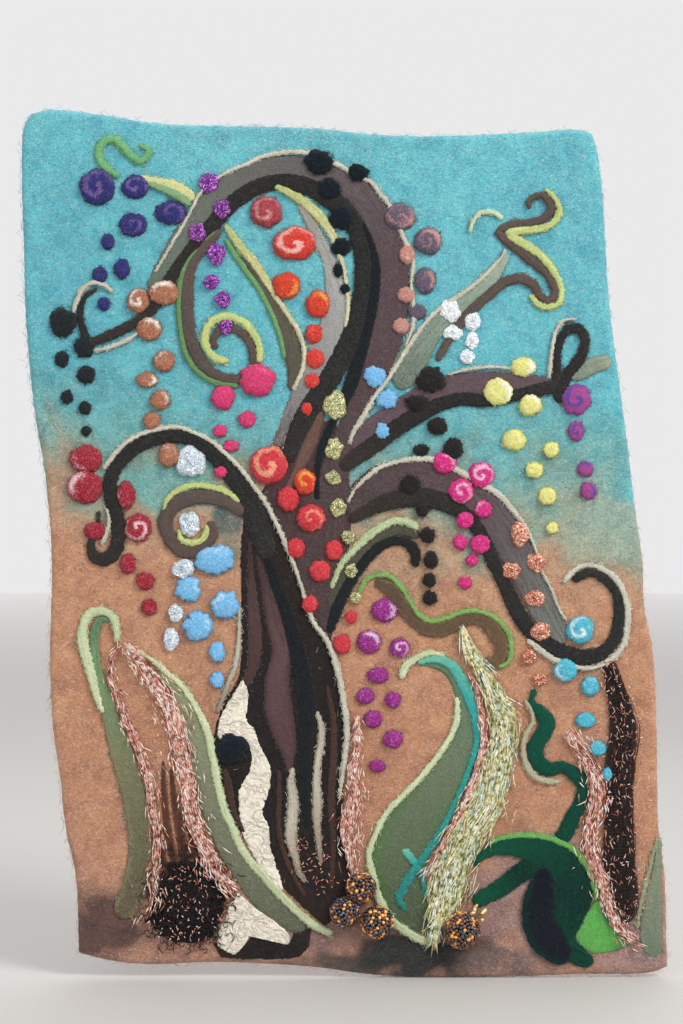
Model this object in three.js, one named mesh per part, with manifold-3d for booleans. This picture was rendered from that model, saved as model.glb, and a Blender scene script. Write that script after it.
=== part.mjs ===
// A felted wool picture of a swirling tree: a thick felt sheet whose front carries laid wool strands,
// patches and dots, bundles of metallic fibre, a strip of black mesh and four beaded balls.
// Millimetres. X runs to the right, Z runs up, the picture faces -Y and its flat back lies in Y = 0.
// The origin is a point in the middle of the back.

import * as THREE from 'three';
import { mergeVertices } from 'three/addons/utils/BufferGeometryUtils.js';
import Module from 'manifold-3d';

const wasm = await Module();
wasm.setup();

// Driving dimensions. The routes and outlines below are drawn for a foot edge DRAWN_FOOT_WIDTH wide.
const FOOT_WIDTH = 295;
const DRAWN_FOOT_WIDTH = 295;
const UNIT = FOOT_WIDTH / DRAWN_FOOT_WIDTH;
const SHEET_THICKNESS = 6;
const SHEET_RIM = 2;
const GAP = 0.3;

// How far each kind of layer stands off the sheet. What is laid later stands higher.
const PATCH_RISE = 1.2;
const BAND_RISE = 2.0;
const STRAND_RISE = 3.0;
const EDGE_RISE = 3.8;
const BUNDLE_RISE = 4.6;
const DOT_RISE = 5.6;
const THINNEST_RISE_PER_WIDTH = 1.2;

// How finely curves are followed.
const STEPS_PER_SPAN = 2;
const PATCH_STEPS_PER_POINT = 2;
const SHEET_STEPS_PER_POINT = 2;
const DOT_SIDES = 10;
const BALL_SIDES = 12;
const MERGE_TOLERANCE = 0.0001;
const SMOOTHING = 0.08;

// A strand's section is a low ridge with sloping sides: which side each corner is on, and whether it is up.
const RIDGE_SECTION = [[-1, false], [-1, true], [1, true], [1, false]];
const CREST_SHARE = 0.62;

// A dot's profile, from its foot to its crown, as shares of its radius and its rise.
const DOT_PROFILE = [[0, 0], [0.94, 0], [1, 0.3], [0.8, 0.78], [0.42, 0.97], [0, 1]];

const wool = (colour) => ({ color: colour, roughness: 0.95, metalness: 0 });
const foil = (colour) => ({ color: colour, roughness: 0.3, metalness: 0.8 });

const FINISH = {
  sheet: wool(0x58b8c8),
  darkBrown: wool(0x362a27),
  blueBlack: wool(0x14202a),
  mauve: wool(0x644c54),
  rust: wool(0x6e463c),
  grey: wool(0x9a9594),
  greyGreen: wool(0x6a7867),
  cream: wool(0xe6dfc6),
  yellow: wool(0xe0da74),
  lime: wool(0x90bc5c),
  paleGreen: wool(0xcce2a4),
  green: wool(0x54905f),
  teal: wool(0x37a69f),
  darkGreen: wool(0x065238),
  brightGreen: wool(0x6ebe50),
  red: wool(0xdc3428),
  pink: wool(0xe23c78),
  crimson: wool(0xa81e30),
  navy: wool(0x302864),
  lightBlue: wool(0x66b4e8),
  black: wool(0x161413),
  copper: foil(0xc27862),
  gold: foil(0xc8be78),
  beads: { color: 0x2a1a10, roughness: 0.15, metalness: 0 },
};

const picture = new THREE.Group();
const laid = [];

// A merged, closed geometry as a solid that can be joined and cut.
function toSolid(geometry) {
  geometry.deleteAttribute('normal');
  geometry.deleteAttribute('uv');
  const merged = mergeVertices(geometry, MERGE_TOLERANCE);
  const corners = Array.from(merged.index.array);
  const triangles = [];
  for (let first = 0; first < corners.length; first += 3) {
    const [a, b, c] = corners.slice(first, first + 3);
    if (a !== b && b !== c && c !== a) {
      triangles.push(a, b, c);
    }
  }
  return new wasm.Manifold(new wasm.Mesh({
    numProp: 3,
    vertProperties: merged.attributes.position.array,
    triVerts: new Uint32Array(triangles),
  }));
}

function toGeometry(solid) {
  const mesh = solid.getMesh();
  const geometry = new THREE.BufferGeometry();
  geometry.setAttribute('position', new THREE.BufferAttribute(mesh.vertProperties, 3));
  geometry.setIndex(new THREE.BufferAttribute(mesh.triVerts, 1));
  geometry.computeVertexNormals();
  return geometry;
}

function boxesMeet(first, second) {
  const a = first.boundingBox();
  const b = second.boundingBox();
  return [0, 1, 2].every((axis) => a.min[axis] < b.max[axis] && b.min[axis] < a.max[axis]);
}

// Cutting can leave crumbs at a strand's rim; the piece itself is the largest body.
function largestBody(solid) {
  return solid.decompose().reduce((best, body) => (body.volume() > best.volume() ? body : best));
}

// Adds a named piece, cut back so that it rests on and beside everything laid before it.
// swollen is the same piece a gap larger all round, kept to cut what is laid later.
function lay(name, finish, solid, swollen) {
  const cut = laid
    .filter((earlier) => boxesMeet(earlier, solid))
    .reduce((piece, earlier) => piece.subtract(earlier), solid);
  const body = largestBody(cut).simplify(SMOOTHING);
  const mesh = new THREE.Mesh(toGeometry(body), new THREE.MeshStandardMaterial(finish));
  mesh.name = name;
  picture.add(mesh);
  laid.push(swollen);
}

// A closed curve through the outline's [x, z] points, as a flat shape.
function closedShape(outline, stepsPerPoint) {
  const points = outline.map(([x, z]) => new THREE.Vector3(x * UNIT, z * UNIT, 0));
  const curve = new THREE.CatmullRomCurve3(points, true, 'centripetal');
  const rim = curve.getPoints(points.length * stepsPerPoint).slice(0, -1);
  return new THREE.Shape(rim.map((point) => new THREE.Vector2(point.x, point.y)));
}

// Turns an extrusion made along +Z so that it stands off the sheet towards -Y.
function standUp(geometry, offset) {
  return geometry.rotateX(Math.PI / 2).translate(0, -offset, 0);
}

// A flat area of wool with a free outline.
function patch(name, finish, rise, outline) {
  const shape = closedShape(outline, PATCH_STEPS_PER_POINT);
  const plain = { depth: rise, bevelEnabled: false };
  const grown = { depth: rise, bevelSize: GAP, bevelThickness: GAP, bevelSegments: 1 };
  const [solid, swollen] = [plain, grown].map((options) => (
    toSolid(standUp(new THREE.ExtrudeGeometry(shape, options), SHEET_THICKNESS + GAP))
  ));
  lay(name, finish, solid, swollen);
}

// A low ridge along a route of [x, z, width] points, with its width running smoothly between them.
function ridge(route, rise, growth) {
  const points = route.map(([x, z, width]) => new THREE.Vector3(x, z, width).multiplyScalar(UNIT));
  const curve = new THREE.CatmullRomCurve3(points, false, 'centripetal');
  const steps = (route.length - 1) * STEPS_PER_SPAN;
  const sides = RIDGE_SECTION.length;
  const positions = [];
  for (let step = 0; step <= steps; step += 1) {
    const point = curve.getPoint(step / steps);
    const along = curve.getTangent(step / steps).setZ(0).normalize();
    const past = growth * ((step === steps) - (step === 0));
    const halfWidth = point.z / 2;
    const height = Math.min(rise, point.z * THINNEST_RISE_PER_WIDTH);
    const footShare = 1 + (1 - CREST_SHARE) * growth / height;
    for (const [side, up] of RIDGE_SECTION) {
      const depth = SHEET_THICKNESS + GAP + (up ? height + growth : -growth);
      const sideways = side * (halfWidth * (up ? CREST_SHARE : footShare) + growth);
      positions.push(
        point.x + along.x * past - along.y * sideways,
        -depth,
        point.y + along.y * past + along.x * sideways,
      );
    }
  }
  const corners = [0, 1, 2, 0, 2, 3];
  for (let step = 0; step < steps; step += 1) {
    for (let side = 0; side < sides; side += 1) {
      const here = step * sides + side;
      const next = step * sides + (side + 1) % sides;
      corners.push(here, here + sides, next + sides, here, next + sides, next);
    }
  }
  const last = steps * sides;
  corners.push(last, last + 2, last + 1, last, last + 3, last + 2);
  const geometry = new THREE.BufferGeometry();
  geometry.setAttribute('position', new THREE.BufferAttribute(new Float32Array(positions), 3));
  geometry.setIndex(corners);
  return toSolid(geometry);
}

// A laid strand of one or more runs, joined where they overlap.
function strand(name, finish, rise, ...runs) {
  const joined = (growth) => runs
    .map((route) => ridge(route, rise, growth))
    .reduce((whole, run) => whole.add(run));
  lay(name, finish, joined(0), joined(GAP));
}

// A round or oval mound centred on [x, z].
function mound(name, finish, [x, z], width, length, rise, sides) {
  const [solid, swollen] = [0, GAP].map((growth) => {
    const profile = DOT_PROFILE.map(([out, up]) => (
      new THREE.Vector2(out, up ? up * (rise + growth) : -growth)
    ));
    const geometry = new THREE.LatheGeometry(profile, sides).rotateX(Math.PI);
    geometry.scale(width * UNIT / 2 + growth, 1, length * UNIT / 2 + growth);
    geometry.translate(x * UNIT, -(SHEET_THICKNESS + GAP), z * UNIT);
    return toSolid(geometry);
  });
  lay(name, finish, solid, swollen);
}

// --- The felt sheet, with a wavy outline and a rounded rim ---

const SHEET_OUTLINE = [
  [-160, 209], [-156, 217], [-148, 218], [-126, 216], [-92, 211], [-60, 210], [-22, 209], [26, 205],
  [52, 205], [98, 207], [116, 208], [123, 206], [126, 199], [129, 174], [132, 125], [136, 91],
  [141, 54], [145, 20], [149, -8], [150, -32], [154, -52], [156, -90], [157, -142], [160, -165],
  [161, -200], [162, -210], [154, -214], [116, -215], [88, -216], [22, -216], [-20, -211],
  [-65, -209], [-102, -210], [-123, -207], [-133, -203], [-134, -181], [-135, -166], [-140, -142],
  [-143, -115], [-146, -95], [-148, -60], [-147, -10], [-150, 33], [-156, 70], [-160, 115],
  [-161, 150], [-162, 184],
];

{
  const flat = SHEET_THICKNESS - 2 * SHEET_RIM;
  const rim = {
    depth: flat,
    bevelSize: SHEET_RIM,
    bevelOffset: -SHEET_RIM,
    bevelThickness: SHEET_RIM,
    bevelSegments: 3,
  };
  const shape = closedShape(SHEET_OUTLINE, SHEET_STEPS_PER_POINT);
  const solid = toSolid(standUp(new THREE.ExtrudeGeometry(shape, rim), SHEET_RIM));
  lay('felt_sheet', FINISH.sheet, solid, solid);
}

// --- Areas laid first ---

patch('trunk', FINISH.darkBrown, PATCH_RISE, [
  [-52, 20], [-41, 12], [-32, 0], [-23, -15], [-16, -31], [-7, -52], [-2, -75], [0, -100],
  [-1, -127], [0, -152], [3, -167], [0, -180], [-10, -190], [-22, -180], [-35, -167], [-47, -152],
  [-57, -135], [-62, -117], [-66, -100], [-61, -80], [-53, -65], [-52, -47], [-52, -20],
]);

patch('root_ground', FINISH.darkBrown, PATCH_RISE, [
  [-66, -199], [-50, -199], [-45, -194], [-39, -191], [-33, -194], [-28, -199], [-25, -193],
  [-17, -192], [-18, -201], [-24, -207], [-44, -207], [-62, -206],
]);

patch('right_leaf', FINISH.green, PATCH_RISE, [
  [35, -58], [45, -57], [54, -60], [60, -68], [65, -77], [68, -90], [67, -100], [64, -112],
  [59, -124], [53, -136], [46, -149], [41, -160], [41, -172], [44, -188], [45, -197], [35, -196],
  [25, -189], [18, -178], [14, -165], [13, -152], [18, -139], [30, -125], [45, -108], [54, -95],
  [56, -84], [54, -72], [49, -63],
]);

patch('black_fluff', FINISH.black, PATCH_RISE, [
  [-93, -162], [-83, -158], [-72, -156], [-64, -166], [-59, -174], [-63, -186], [-66, -195],
  [-78, -199], [-90, -196], [-97, -189], [-96, -178], [-91, -171],
]);

patch('bright_green_root', FINISH.brightGreen, PATCH_RISE, [
  [126, -177], [131, -187], [138, -194], [143, -199], [134, -203], [124, -204], [115, -200],
  [112, -194], [116, -187], [122, -182],
]);

patch('birch_patch', FINISH.cream, BAND_RISE, [
  [-63, -88], [-50, -67], [-48, -76], [-49, -87], [-45, -92], [-42, -101], [-37, -112],
  [-38, -124], [-41, -134], [-38, -140], [-37, -151], [-34, -161], [-31, -173], [-38, -168],
  [-46, -155], [-51, -145], [-53, -132], [-53, -122], [-48, -113], [-47, -105], [-50, -97],
  [-56, -94], [-63, -97],
]);

patch('cream_root', FINISH.cream, BAND_RISE, [
  [-54, -174], [-49, -179], [-44, -184], [-38, -188], [-30, -192], [-26, -199], [-29, -200],
  [-34, -195], [-40, -191], [-46, -193], [-50, -200], [-56, -205], [-63, -201], [-64, -194],
  [-60, -187], [-58, -180],
]);

// --- Wide bands ---

strand('arch_mauve_band', FINISH.mauve, BAND_RISE, [
  [-97, 134, 3], [-87, 147, 6], [-78, 161, 7], [-62, 179, 9], [-44, 188, 9], [-22, 190, 9],
  [-5, 187, 10], [8, 178, 11], [18, 164, 12], [24, 147, 13], [25, 130, 15], [21, 108, 18],
  [14, 85, 15], [4, 63, 11], [-2, 48, 12], [-8, 28, 18], [-13, 8, 25], [-14, -12, 23],
  [-12, -28, 14], [-9, -43, 5],
]);

strand('grey_band', FINISH.grey, BAND_RISE, [
  [-23, 171, 3], [-18, 162, 5], [-13, 152, 6], [-8, 142, 7], [-5, 130, 10], [-4, 119, 12],
  [-6, 108, 14], [-9, 99, 16], [-14, 89, 14], [-20, 80, 10], [-26, 70, 6], [-31, 58, 5],
  [-34, 49, 6],
]);

strand('sweep_mauve_band', FINISH.mauve, BAND_RISE, [
  [2, 17, 9], [9, 25, 12], [18, 32, 13], [28, 35, 12], [40, 35, 12], [52, 31, 12], [64, 25, 13],
  [74, 16, 15], [82, 4, 15], [89, -10, 14], [97, -27, 13], [104, -41, 12], [109, -50, 7],
]);

strand('mid_branch_mauve', FINISH.mauve, BAND_RISE, [
  [4, 50, 6], [13, 58, 8], [22, 65, 8], [31, 71, 8], [41, 77, 9], [52, 80, 9], [70, 82, 9],
  [86, 81, 8], [103, 80, 6],
]);

strand('diagonal_band', FINISH.greyGreen, BAND_RISE, [
  [29, 78, 8], [33, 90, 12], [40, 101, 10], [46, 110, 8], [55, 118, 7], [63, 125, 6],
  [71, 132, 6], [77, 138, 5], [81, 144, 3],
]);

strand('left_leaf_green', FINISH.green, BAND_RISE, [
  [-118, -38, 3], [-123, -38, 3], [-126, -44, 4], [-125, -56, 4], [-121, -70, 5], [-114, -91, 9],
  [-109, -105, 9], [-105, -120, 9], [-103, -138, 10], [-102, -152, 11], [-104, -166, 10],
  [-106, -176, 10], [-111, -184, 8],
]);

strand('left_leaf_olive', FINISH.greyGreen, BAND_RISE, [
  [-92, -66, 3], [-84, -73, 5], [-79, -84, 7], [-74, -105, 9], [-69, -120, 9], [-65, -134, 9],
  [-58, -152, 10], [-50, -165, 10], [-41, -177, 10], [-31, -185, 9], [-22, -190, 6],
]);

strand('arch_rust_strand', FINISH.rust, BAND_RISE, [
  [-12, 68, 4], [-14, 60, 6], [-19, 48, 8], [-24, 37, 5], [-28, 29, 4], [-32, 22, 3],
]);

strand('inner_branch_brown', FINISH.rust, BAND_RISE, [
  [-37, 129, 2], [-32, 120, 4], [-27, 108, 5], [-24, 97, 6], [-24, 87, 5], [-26, 78, 3],
]);

strand('ribbon_yellow', FINISH.yellow, BAND_RISE, [
  [-102, 184, 3], [-92, 182, 5], [-82, 179, 5], [-75, 175, 4],
]);

strand('hook_black', FINISH.blueBlack, BAND_RISE, [
  [104, -162, 10], [101, -172, 14], [98, -185, 16], [98, -196, 15], [106, -203, 10],
  [116, -206, 6],
]);

// --- Stripes of the trunk ---

strand('trunk_mauve_strand', FINISH.mauve, STRAND_RISE, [
  [-41, -15, 2], [-38, -24, 4], [-34, -39, 6], [-32, -54, 8], [-34, -68, 13], [-34, -83, 15],
  [-31, -94, 11], [-28, -104, 5], [-29, -110, 2],
]);

strand('trunk_blue_black_strand', FINISH.blueBlack, STRAND_RISE, [
  [-40, -2, 4], [-35, -18, 5], [-30, -32, 6], [-25, -50, 8], [-22, -68, 9], [-20, -83, 9],
  [-20, -98, 8], [-20, -120, 6], [-19, -140, 4],
]);

strand('trunk_cream_strand_left', FINISH.cream, STRAND_RISE, [
  [-26, -111, 2], [-27, -118, 4], [-26, -129, 6], [-27, -147, 6], [-25, -156, 4],
  [-23, -163, 3], [-20, -169, 2],
]);

strand('trunk_cream_strand_right', FINISH.cream, STRAND_RISE, [
  [-14, -83, 2], [-12, -90, 3], [-12, -98, 4], [-14, -112, 4], [-14, -131, 5], [-14, -140, 4],
  [-12, -160, 2],
]);

// --- Dark limbs and curls ---

strand('arch_dark_band', FINISH.darkBrown, STRAND_RISE, [
  [-124, 128, 2], [-129, 125, 2], [-132, 119, 3], [-132, 112, 3], [-130, 105, 4], [-128, 100, 5],
], [
  [-130, 100, 4], [-113, 107, 5], [-97, 117, 5], [-86, 135, 6], [-71, 154, 8], [-55, 172, 8],
  [-38, 182, 7], [-21, 180, 8], [-4, 170, 9], [8, 155, 8], [10, 130, 6], [4, 104, 8],
  [-5, 86, 9], [-21, 62, 9], [-29, 41, 5],
]);

strand('arch_blue_black_strand', FINISH.blueBlack, STRAND_RISE, [
  [14, 150, 2], [16, 136, 5], [15, 122, 5], [11, 107, 5], [6, 90, 7], [2, 78, 7], [-3, 68, 5],
  [-8, 57, 4], [-12, 47, 4], [-14, 34, 3], [-14, 22, 3],
]);

strand('loop_brown', FINISH.rust, STRAND_RISE, [
  [-62, 158, 4], [-71, 149, 6], [-77, 140, 6], [-79, 128, 7], [-79, 116, 7], [-78, 106, 7],
  [-75, 97, 6], [-70, 89, 6], [-62, 84, 5], [-54, 83, 5], [-47, 87, 4], [-46, 95, 4],
  [-49, 103, 4], [-56, 108, 4], [-63, 107, 4], [-66, 102, 3], [-64, 98, 3],
]);

strand('left_arch_dark', FINISH.darkBrown, STRAND_RISE, [
  [-123, 17, 2], [-124, 8, 2], [-127, 1, 4], [-125, -6, 6], [-120, -7, 7], [-115, -3, 7],
  [-113, 6, 7], [-114, 14, 7], [-117, 24, 7], [-117, 33, 7], [-113, 41, 7], [-104, 49, 7],
  [-92, 54, 7], [-80, 54, 7], [-70, 49, 8], [-61, 40, 9], [-52, 29, 10], [-46, 17, 12],
  [-42, 5, 11], [-38, -7, 8],
]);

strand('swirl_brown', FINISH.rust, STRAND_RISE, [
  [-49, 16, 5], [-60, 22, 6], [-69, 24, 6], [-78, 23, 6], [-86, 19, 6], [-90, 12, 6],
  [-88, 4, 6], [-83, -2, 6], [-76, -3, 6], [-69, 1, 5], [-66, 7, 5], [-68, 12, 3],
]);

strand('sweep_dark_strand', FINISH.darkBrown, STRAND_RISE, [
  [2, 12, 4], [12, 18, 6], [22, 22, 7], [36, 24, 8], [48, 23, 8], [59, 17, 7], [67, 8, 6],
  [72, -4, 7], [79, -18, 7], [85, -31, 8], [92, -42, 8], [101, -49, 8], [110, -54, 8],
  [119, -56, 8], [128, -54, 7], [135, -46, 6], [137, -35, 6], [136, -25, 5], [131, -18, 5],
  [124, -14, 4], [118, -15, 4], [114, -18, 4],
]);

strand('mid_branch_dark', FINISH.darkBrown, STRAND_RISE, [
  [0, 41, 5], [11, 48, 8], [22, 56, 8], [31, 62, 8], [40, 66, 7], [49, 71, 6], [58, 73, 6],
  [72, 72, 6], [85, 75, 6], [98, 78, 7], [107, 80, 7],
], [
  [106, 78, 6], [106, 88, 4], [106, 96, 4], [108, 103, 4], [112, 108, 5], [117, 108, 5],
  [120, 104, 5],
], [
  [118, 107, 5], [120, 103, 5], [119, 97, 5], [116, 91, 6], [111, 85, 6], [108, 79, 7],
  [107, 71, 6],
]);

strand('diagonal_curl', FINISH.rust, STRAND_RISE, [
  [46, 92, 3], [51, 101, 4], [63, 117, 5], [73, 126, 5], [81, 132, 5], [88, 133, 5],
  [94, 130, 5], [97, 125, 4], [101, 122, 4],
], [
  [99, 123, 4], [102, 122, 4], [105, 126, 4], [104, 130, 4], [99, 137, 4], [92, 143, 5],
  [85, 149, 5], [78, 154, 4], [76, 158, 4],
], [
  [76, 157, 4], [83, 160, 4], [92, 161, 4], [99, 163, 4], [103, 168, 4], [101, 173, 4],
  [97, 175, 3], [92, 172, 3], [92, 168, 2],
]);

strand('small_branch_dark', FINISH.darkBrown, STRAND_RISE, [
  [-7, -44, 4], [-4, -33, 6], [2, -21, 7], [9, -9, 7], [16, 0, 7], [24, 5, 6], [31, 3, 6],
  [35, -3, 6], [35, -10, 4],
]);

strand('vine_brown', FINISH.rust, STRAND_RISE, [
  [16, -20, 3], [22, -24, 4], [27, -29, 5], [33, -36, 5], [40, -42, 5], [48, -43, 5],
  [55, -40, 5], [62, -37, 5], [69, -38, 5], [74, -43, 5], [78, -49, 5], [78, -55, 5],
  [74, -58, 5], [69, -56, 3],
]);

strand('tendril_lime', FINISH.lime, STRAND_RISE, [
  [-103, 200, 2], [-98, 197, 3], [-102, 192, 4], [-107, 195, 4], [-112, 200, 4],
  [-116, 203, 4], [-121, 201, 4], [-123, 196, 4], [-121, 190, 4], [-113, 184, 3],
]);

strand('snake_green', FINISH.darkGreen, STRAND_RISE, [
  [95, -72, 3], [93, -78, 3], [97, -83, 6], [101, -89, 8], [98, -96, 8], [95, -102, 8],
  [97, -109, 8], [102, -112, 7], [108, -111, 6], [114, -114, 7], [119, -120, 7],
  [118, -128, 7], [114, -136, 8], [110, -142, 8],
]);

strand('hook_green', FINISH.darkGreen, STRAND_RISE, [
  [64, -160, 3], [70, -153, 5], [78, -150, 8], [90, -150, 10], [102, -154, 13],
  [112, -162, 15], [118, -172, 14], [114, -183, 14], [108, -193, 10], [110, -201, 9],
  [118, -206, 8], [124, -209, 6],
], [
  [65, -178, 7], [78, -171, 8], [92, -161, 8], [104, -157, 8],
]);

strand('right_leaf_teal_vein', FINISH.teal, STRAND_RISE, [
  [36, -59, 2], [45, -57, 4], [53, -60, 5], [58, -67, 6], [62, -76, 6], [65, -85, 5],
  [66, -97, 4], [63, -109, 3], [58, -122, 3], [52, -135, 3], [45, -148, 4], [37, -159, 4],
  [30, -170, 5], [27, -177, 4], [31, -183, 2],
], [
  [29, -152, 4], [34, -158, 4], [38, -164, 3], [40, -175, 2],
]);

// --- Pale lines laid along the limbs' edges ---

strand('arch_cream_edge', FINISH.cream, EDGE_RISE, [
  [-95, 136, 2], [-88, 148, 2], [-78, 165, 2], [-72, 176, 2], [-61, 185, 2], [-50, 190, 3],
  [-41, 194, 3], [-31, 196, 3], [-21, 196, 3], [-4, 190, 3], [5, 185, 3], [13, 181, 3],
  [18, 175, 3], [22, 170, 3], [29, 154, 3], [34, 141, 3], [33, 130, 2], [34, 122, 3],
  [34, 110, 3], [30, 99, 2],
]);

strand('left_arch_cream_edge', FINISH.cream, EDGE_RISE, [
  [-121, 38, 3], [-112, 49, 3], [-103, 55, 3], [-93, 58, 3], [-84, 59, 3], [-75, 56, 3],
  [-67, 52, 3], [-59, 45, 3], [-52, 38, 3], [-46, 30, 3], [-39, 20, 3], [-30, 1, 3],
  [-23, -17, 2], [-16, -38, 3], [-9, -48, 3], [-5, -58, 4], [-1, -76, 4], [1, -94, 4],
  [-1, -112, 3], [-3, -127, 2],
]);

strand('sweep_cream_edge', FINISH.cream, EDGE_RISE, [
  [1, 21, 2], [5, 28, 2], [11, 34, 3], [18, 39, 3], [28, 42, 3], [42, 43, 4], [55, 38, 4],
  [67, 31, 4], [77, 25, 4], [85, 16, 3], [90, 9, 3], [94, 1, 2], [98, -12, 2], [103, -22, 2],
  [108, -34, 2], [111, -38, 2],
]);

strand('diagonal_cream_edge', FINISH.cream, EDGE_RISE, [
  [2, 50, 2], [4, 56, 3], [9, 64, 4], [14, 73, 3], [20, 81, 3], [26, 90, 3], [35, 104, 3],
  [44, 115, 3], [56, 124, 3], [66, 131, 3], [74, 139, 3], [79, 145, 2], [80, 148, 2],
]);

strand('left_leaf_tip', FINISH.paleGreen, EDGE_RISE, [
  [-122, -84, 2], [-126, -72, 3], [-129, -60, 4], [-132, -49, 4], [-132, -42, 4],
  [-129, -35, 4], [-124, -32, 4], [-119, -33, 4], [-115, -37, 4], [-114, -43, 4],
  [-113, -48, 3],
]);

strand('left_leaf_pale_edge', FINISH.paleGreen, EDGE_RISE, [
  [-104, -53, 2], [-97, -57, 2], [-89, -64, 3], [-82, -70, 3], [-75, -80, 3], [-69, -93, 4],
  [-66, -106, 4], [-64, -118, 4], [-61, -130, 4], [-56, -142, 4], [-51, -153, 4],
  [-42, -164, 4], [-34, -173, 4], [-24, -183, 4], [-14, -191, 4], [-6, -194, 3],
]);

strand('right_leaf_pale_edge', FINISH.paleGreen, EDGE_RISE, [
  [56, -76, 2], [56, -86, 3], [53, -95, 3], [46, -106, 3], [36, -118, 3], [28, -126, 3],
  [20, -135, 3], [15, -145, 3], [12, -155, 3], [14, -166, 4], [17, -177, 4], [24, -188, 4],
  [32, -194, 4], [41, -198, 4], [48, -197, 3],
]);

// --- Bundles of metallic fibre and the mesh strip ---

strand('copper_bundle_left', FINISH.copper, BUNDLE_RISE, [
  [-112, -47, 3], [-115, -54, 4], [-117, -66, 4], [-113, -75, 4], [-110, -86, 5],
  [-104, -99, 5], [-100, -110, 5], [-97, -120, 5], [-96, -132, 5], [-94, -144, 5],
  [-94, -155, 5], [-96, -167, 6], [-95, -178, 6], [-100, -188, 5],
]);

strand('copper_bundle_inner', FINISH.copper, BUNDLE_RISE, [
  [-110, -49, 3], [-104, -56, 5], [-98, -64, 7], [-92, -73, 9], [-87, -82, 9], [-84, -94, 9],
  [-81, -107, 8], [-78, -120, 8], [-78, -131, 7], [-74, -143, 7], [-68, -156, 7],
  [-63, -166, 6], [-58, -172, 4],
]);

strand('copper_bundle_trunk', FINISH.copper, BUNDLE_RISE, [
  [6, -85, 2], [6, -94, 3], [6, -104, 4], [4, -114, 6], [5, -123, 8], [4, -131, 8],
  [2, -138, 10], [1, -145, 8], [3, -154, 6], [3, -163, 4],
]);

strand('copper_bundle_right', FINISH.copper, BUNDLE_RISE, [
  [111, -92, 6], [116, -100, 8], [121, -107, 8], [125, -117, 8], [126, -128, 8],
  [123, -140, 7], [123, -154, 7], [128, -167, 6], [131, -178, 5], [134, -186, 5],
  [139, -194, 5], [145, -199, 2],
]);

strand('black_mesh_strip', FINISH.black, BUNDLE_RISE, [
  [131, -59, 5], [135, -71, 7], [139, -84, 9], [141, -93, 10], [140, -105, 11],
  [138, -119, 12], [137, -133, 13], [137, -145, 15], [137, -158, 17], [138, -172, 18],
  [140, -182, 14], [141, -189, 5],
]);

strand('gold_bundle', FINISH.gold, BUNDLE_RISE, [
  [58, -40, 3], [61, -50, 6], [65, -57, 6], [70, -66, 7], [74, -75, 9], [79, -84, 12],
  [79, -97, 13], [77, -108, 14], [74, -121, 16], [68, -133, 17], [61, -145, 18],
  [55, -157, 19], [52, -168, 20], [49, -179, 18], [47, -187, 12], [45, -193, 5],
]);

// --- The largest felt dots ---

mound('navy_dot', FINISH.navy, [-124, 179], 18, 18, DOT_RISE, DOT_SIDES);
mound('red_swirl_dot', FINISH.red, [-25, 150], 22, 17, DOT_RISE, DOT_SIDES);
mound('pink_dot', FINISH.pink, [-44, 82], 17, 17, DOT_RISE, DOT_SIDES);
mound('trunk_red_dot', FINISH.red, [-38, 40], 19, 19, DOT_RISE, DOT_SIDES);
mound('crimson_dot', FINISH.crimson, [-130, 29], 17, 16, DOT_RISE, DOT_SIDES);
mound('light_blue_dot', FINISH.lightBlue, [-65, -8], 19, 14, DOT_RISE, DOT_SIDES);

// --- The beaded balls at the foot of the tree ---

const BEADED_BALLS = [
  { at: [8, -171], size: 15 },
  { at: [0, -183], size: 15 },
  { at: [16, -188], size: 16 },
  { at: [58, -192], size: 18 },
];
const BALL_RISE_PER_SIZE = 0.75;

BEADED_BALLS.forEach(({ at, size }, index) => {
  mound(`beaded_ball_${index + 1}`, FINISH.beads, at, size, size, size * BALL_RISE_PER_SIZE, BALL_SIDES);
});

export default picture;
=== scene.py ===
"""The looks of a felted wool tree picture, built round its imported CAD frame."""
import math
import random

import bpy
import bmesh
import numpy as np
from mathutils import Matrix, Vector, noise


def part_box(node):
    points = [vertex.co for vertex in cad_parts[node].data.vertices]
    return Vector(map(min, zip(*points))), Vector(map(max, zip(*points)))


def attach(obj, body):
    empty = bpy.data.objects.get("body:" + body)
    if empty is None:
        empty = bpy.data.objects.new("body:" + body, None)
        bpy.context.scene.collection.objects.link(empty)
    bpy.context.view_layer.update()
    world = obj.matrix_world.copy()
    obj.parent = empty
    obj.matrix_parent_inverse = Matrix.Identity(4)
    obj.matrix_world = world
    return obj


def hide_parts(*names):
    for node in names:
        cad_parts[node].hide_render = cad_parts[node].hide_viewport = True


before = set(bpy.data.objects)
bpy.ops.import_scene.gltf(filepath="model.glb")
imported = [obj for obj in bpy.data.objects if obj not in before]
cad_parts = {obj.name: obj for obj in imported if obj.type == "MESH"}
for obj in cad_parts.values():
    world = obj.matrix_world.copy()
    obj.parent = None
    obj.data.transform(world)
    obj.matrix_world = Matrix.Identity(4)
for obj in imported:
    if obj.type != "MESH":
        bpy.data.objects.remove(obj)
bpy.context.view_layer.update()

# --- The frame, and the picture's own measure -------------------------------------------------
# Routes and outlines are drawn in millimetres from the middle of the sheet's back, on a sheet
# DRAWN_WIDTH wide: x runs right, z runs up, and heights are measured off the sheet's front.

SHEET_LOW, SHEET_HIGH = (Vector(corner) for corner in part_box("felt_sheet"))
DRAWN_WIDTH = 324.1
MM = (SHEET_HIGH.x - SHEET_LOW.x) / DRAWN_WIDTH
FRONT = SHEET_LOW.y
THICKNESS = (SHEET_HIGH.y - SHEET_LOW.y) / MM
RNG = random.Random(11)

# --- Camera, lights and floor -------------------------------------------------------------------

VIEW_CENTRE = (-1.8, 16.5)
VIEW_HEIGHT = 512
VIEW_DISTANCE = 1250
SENSOR = 36


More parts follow.
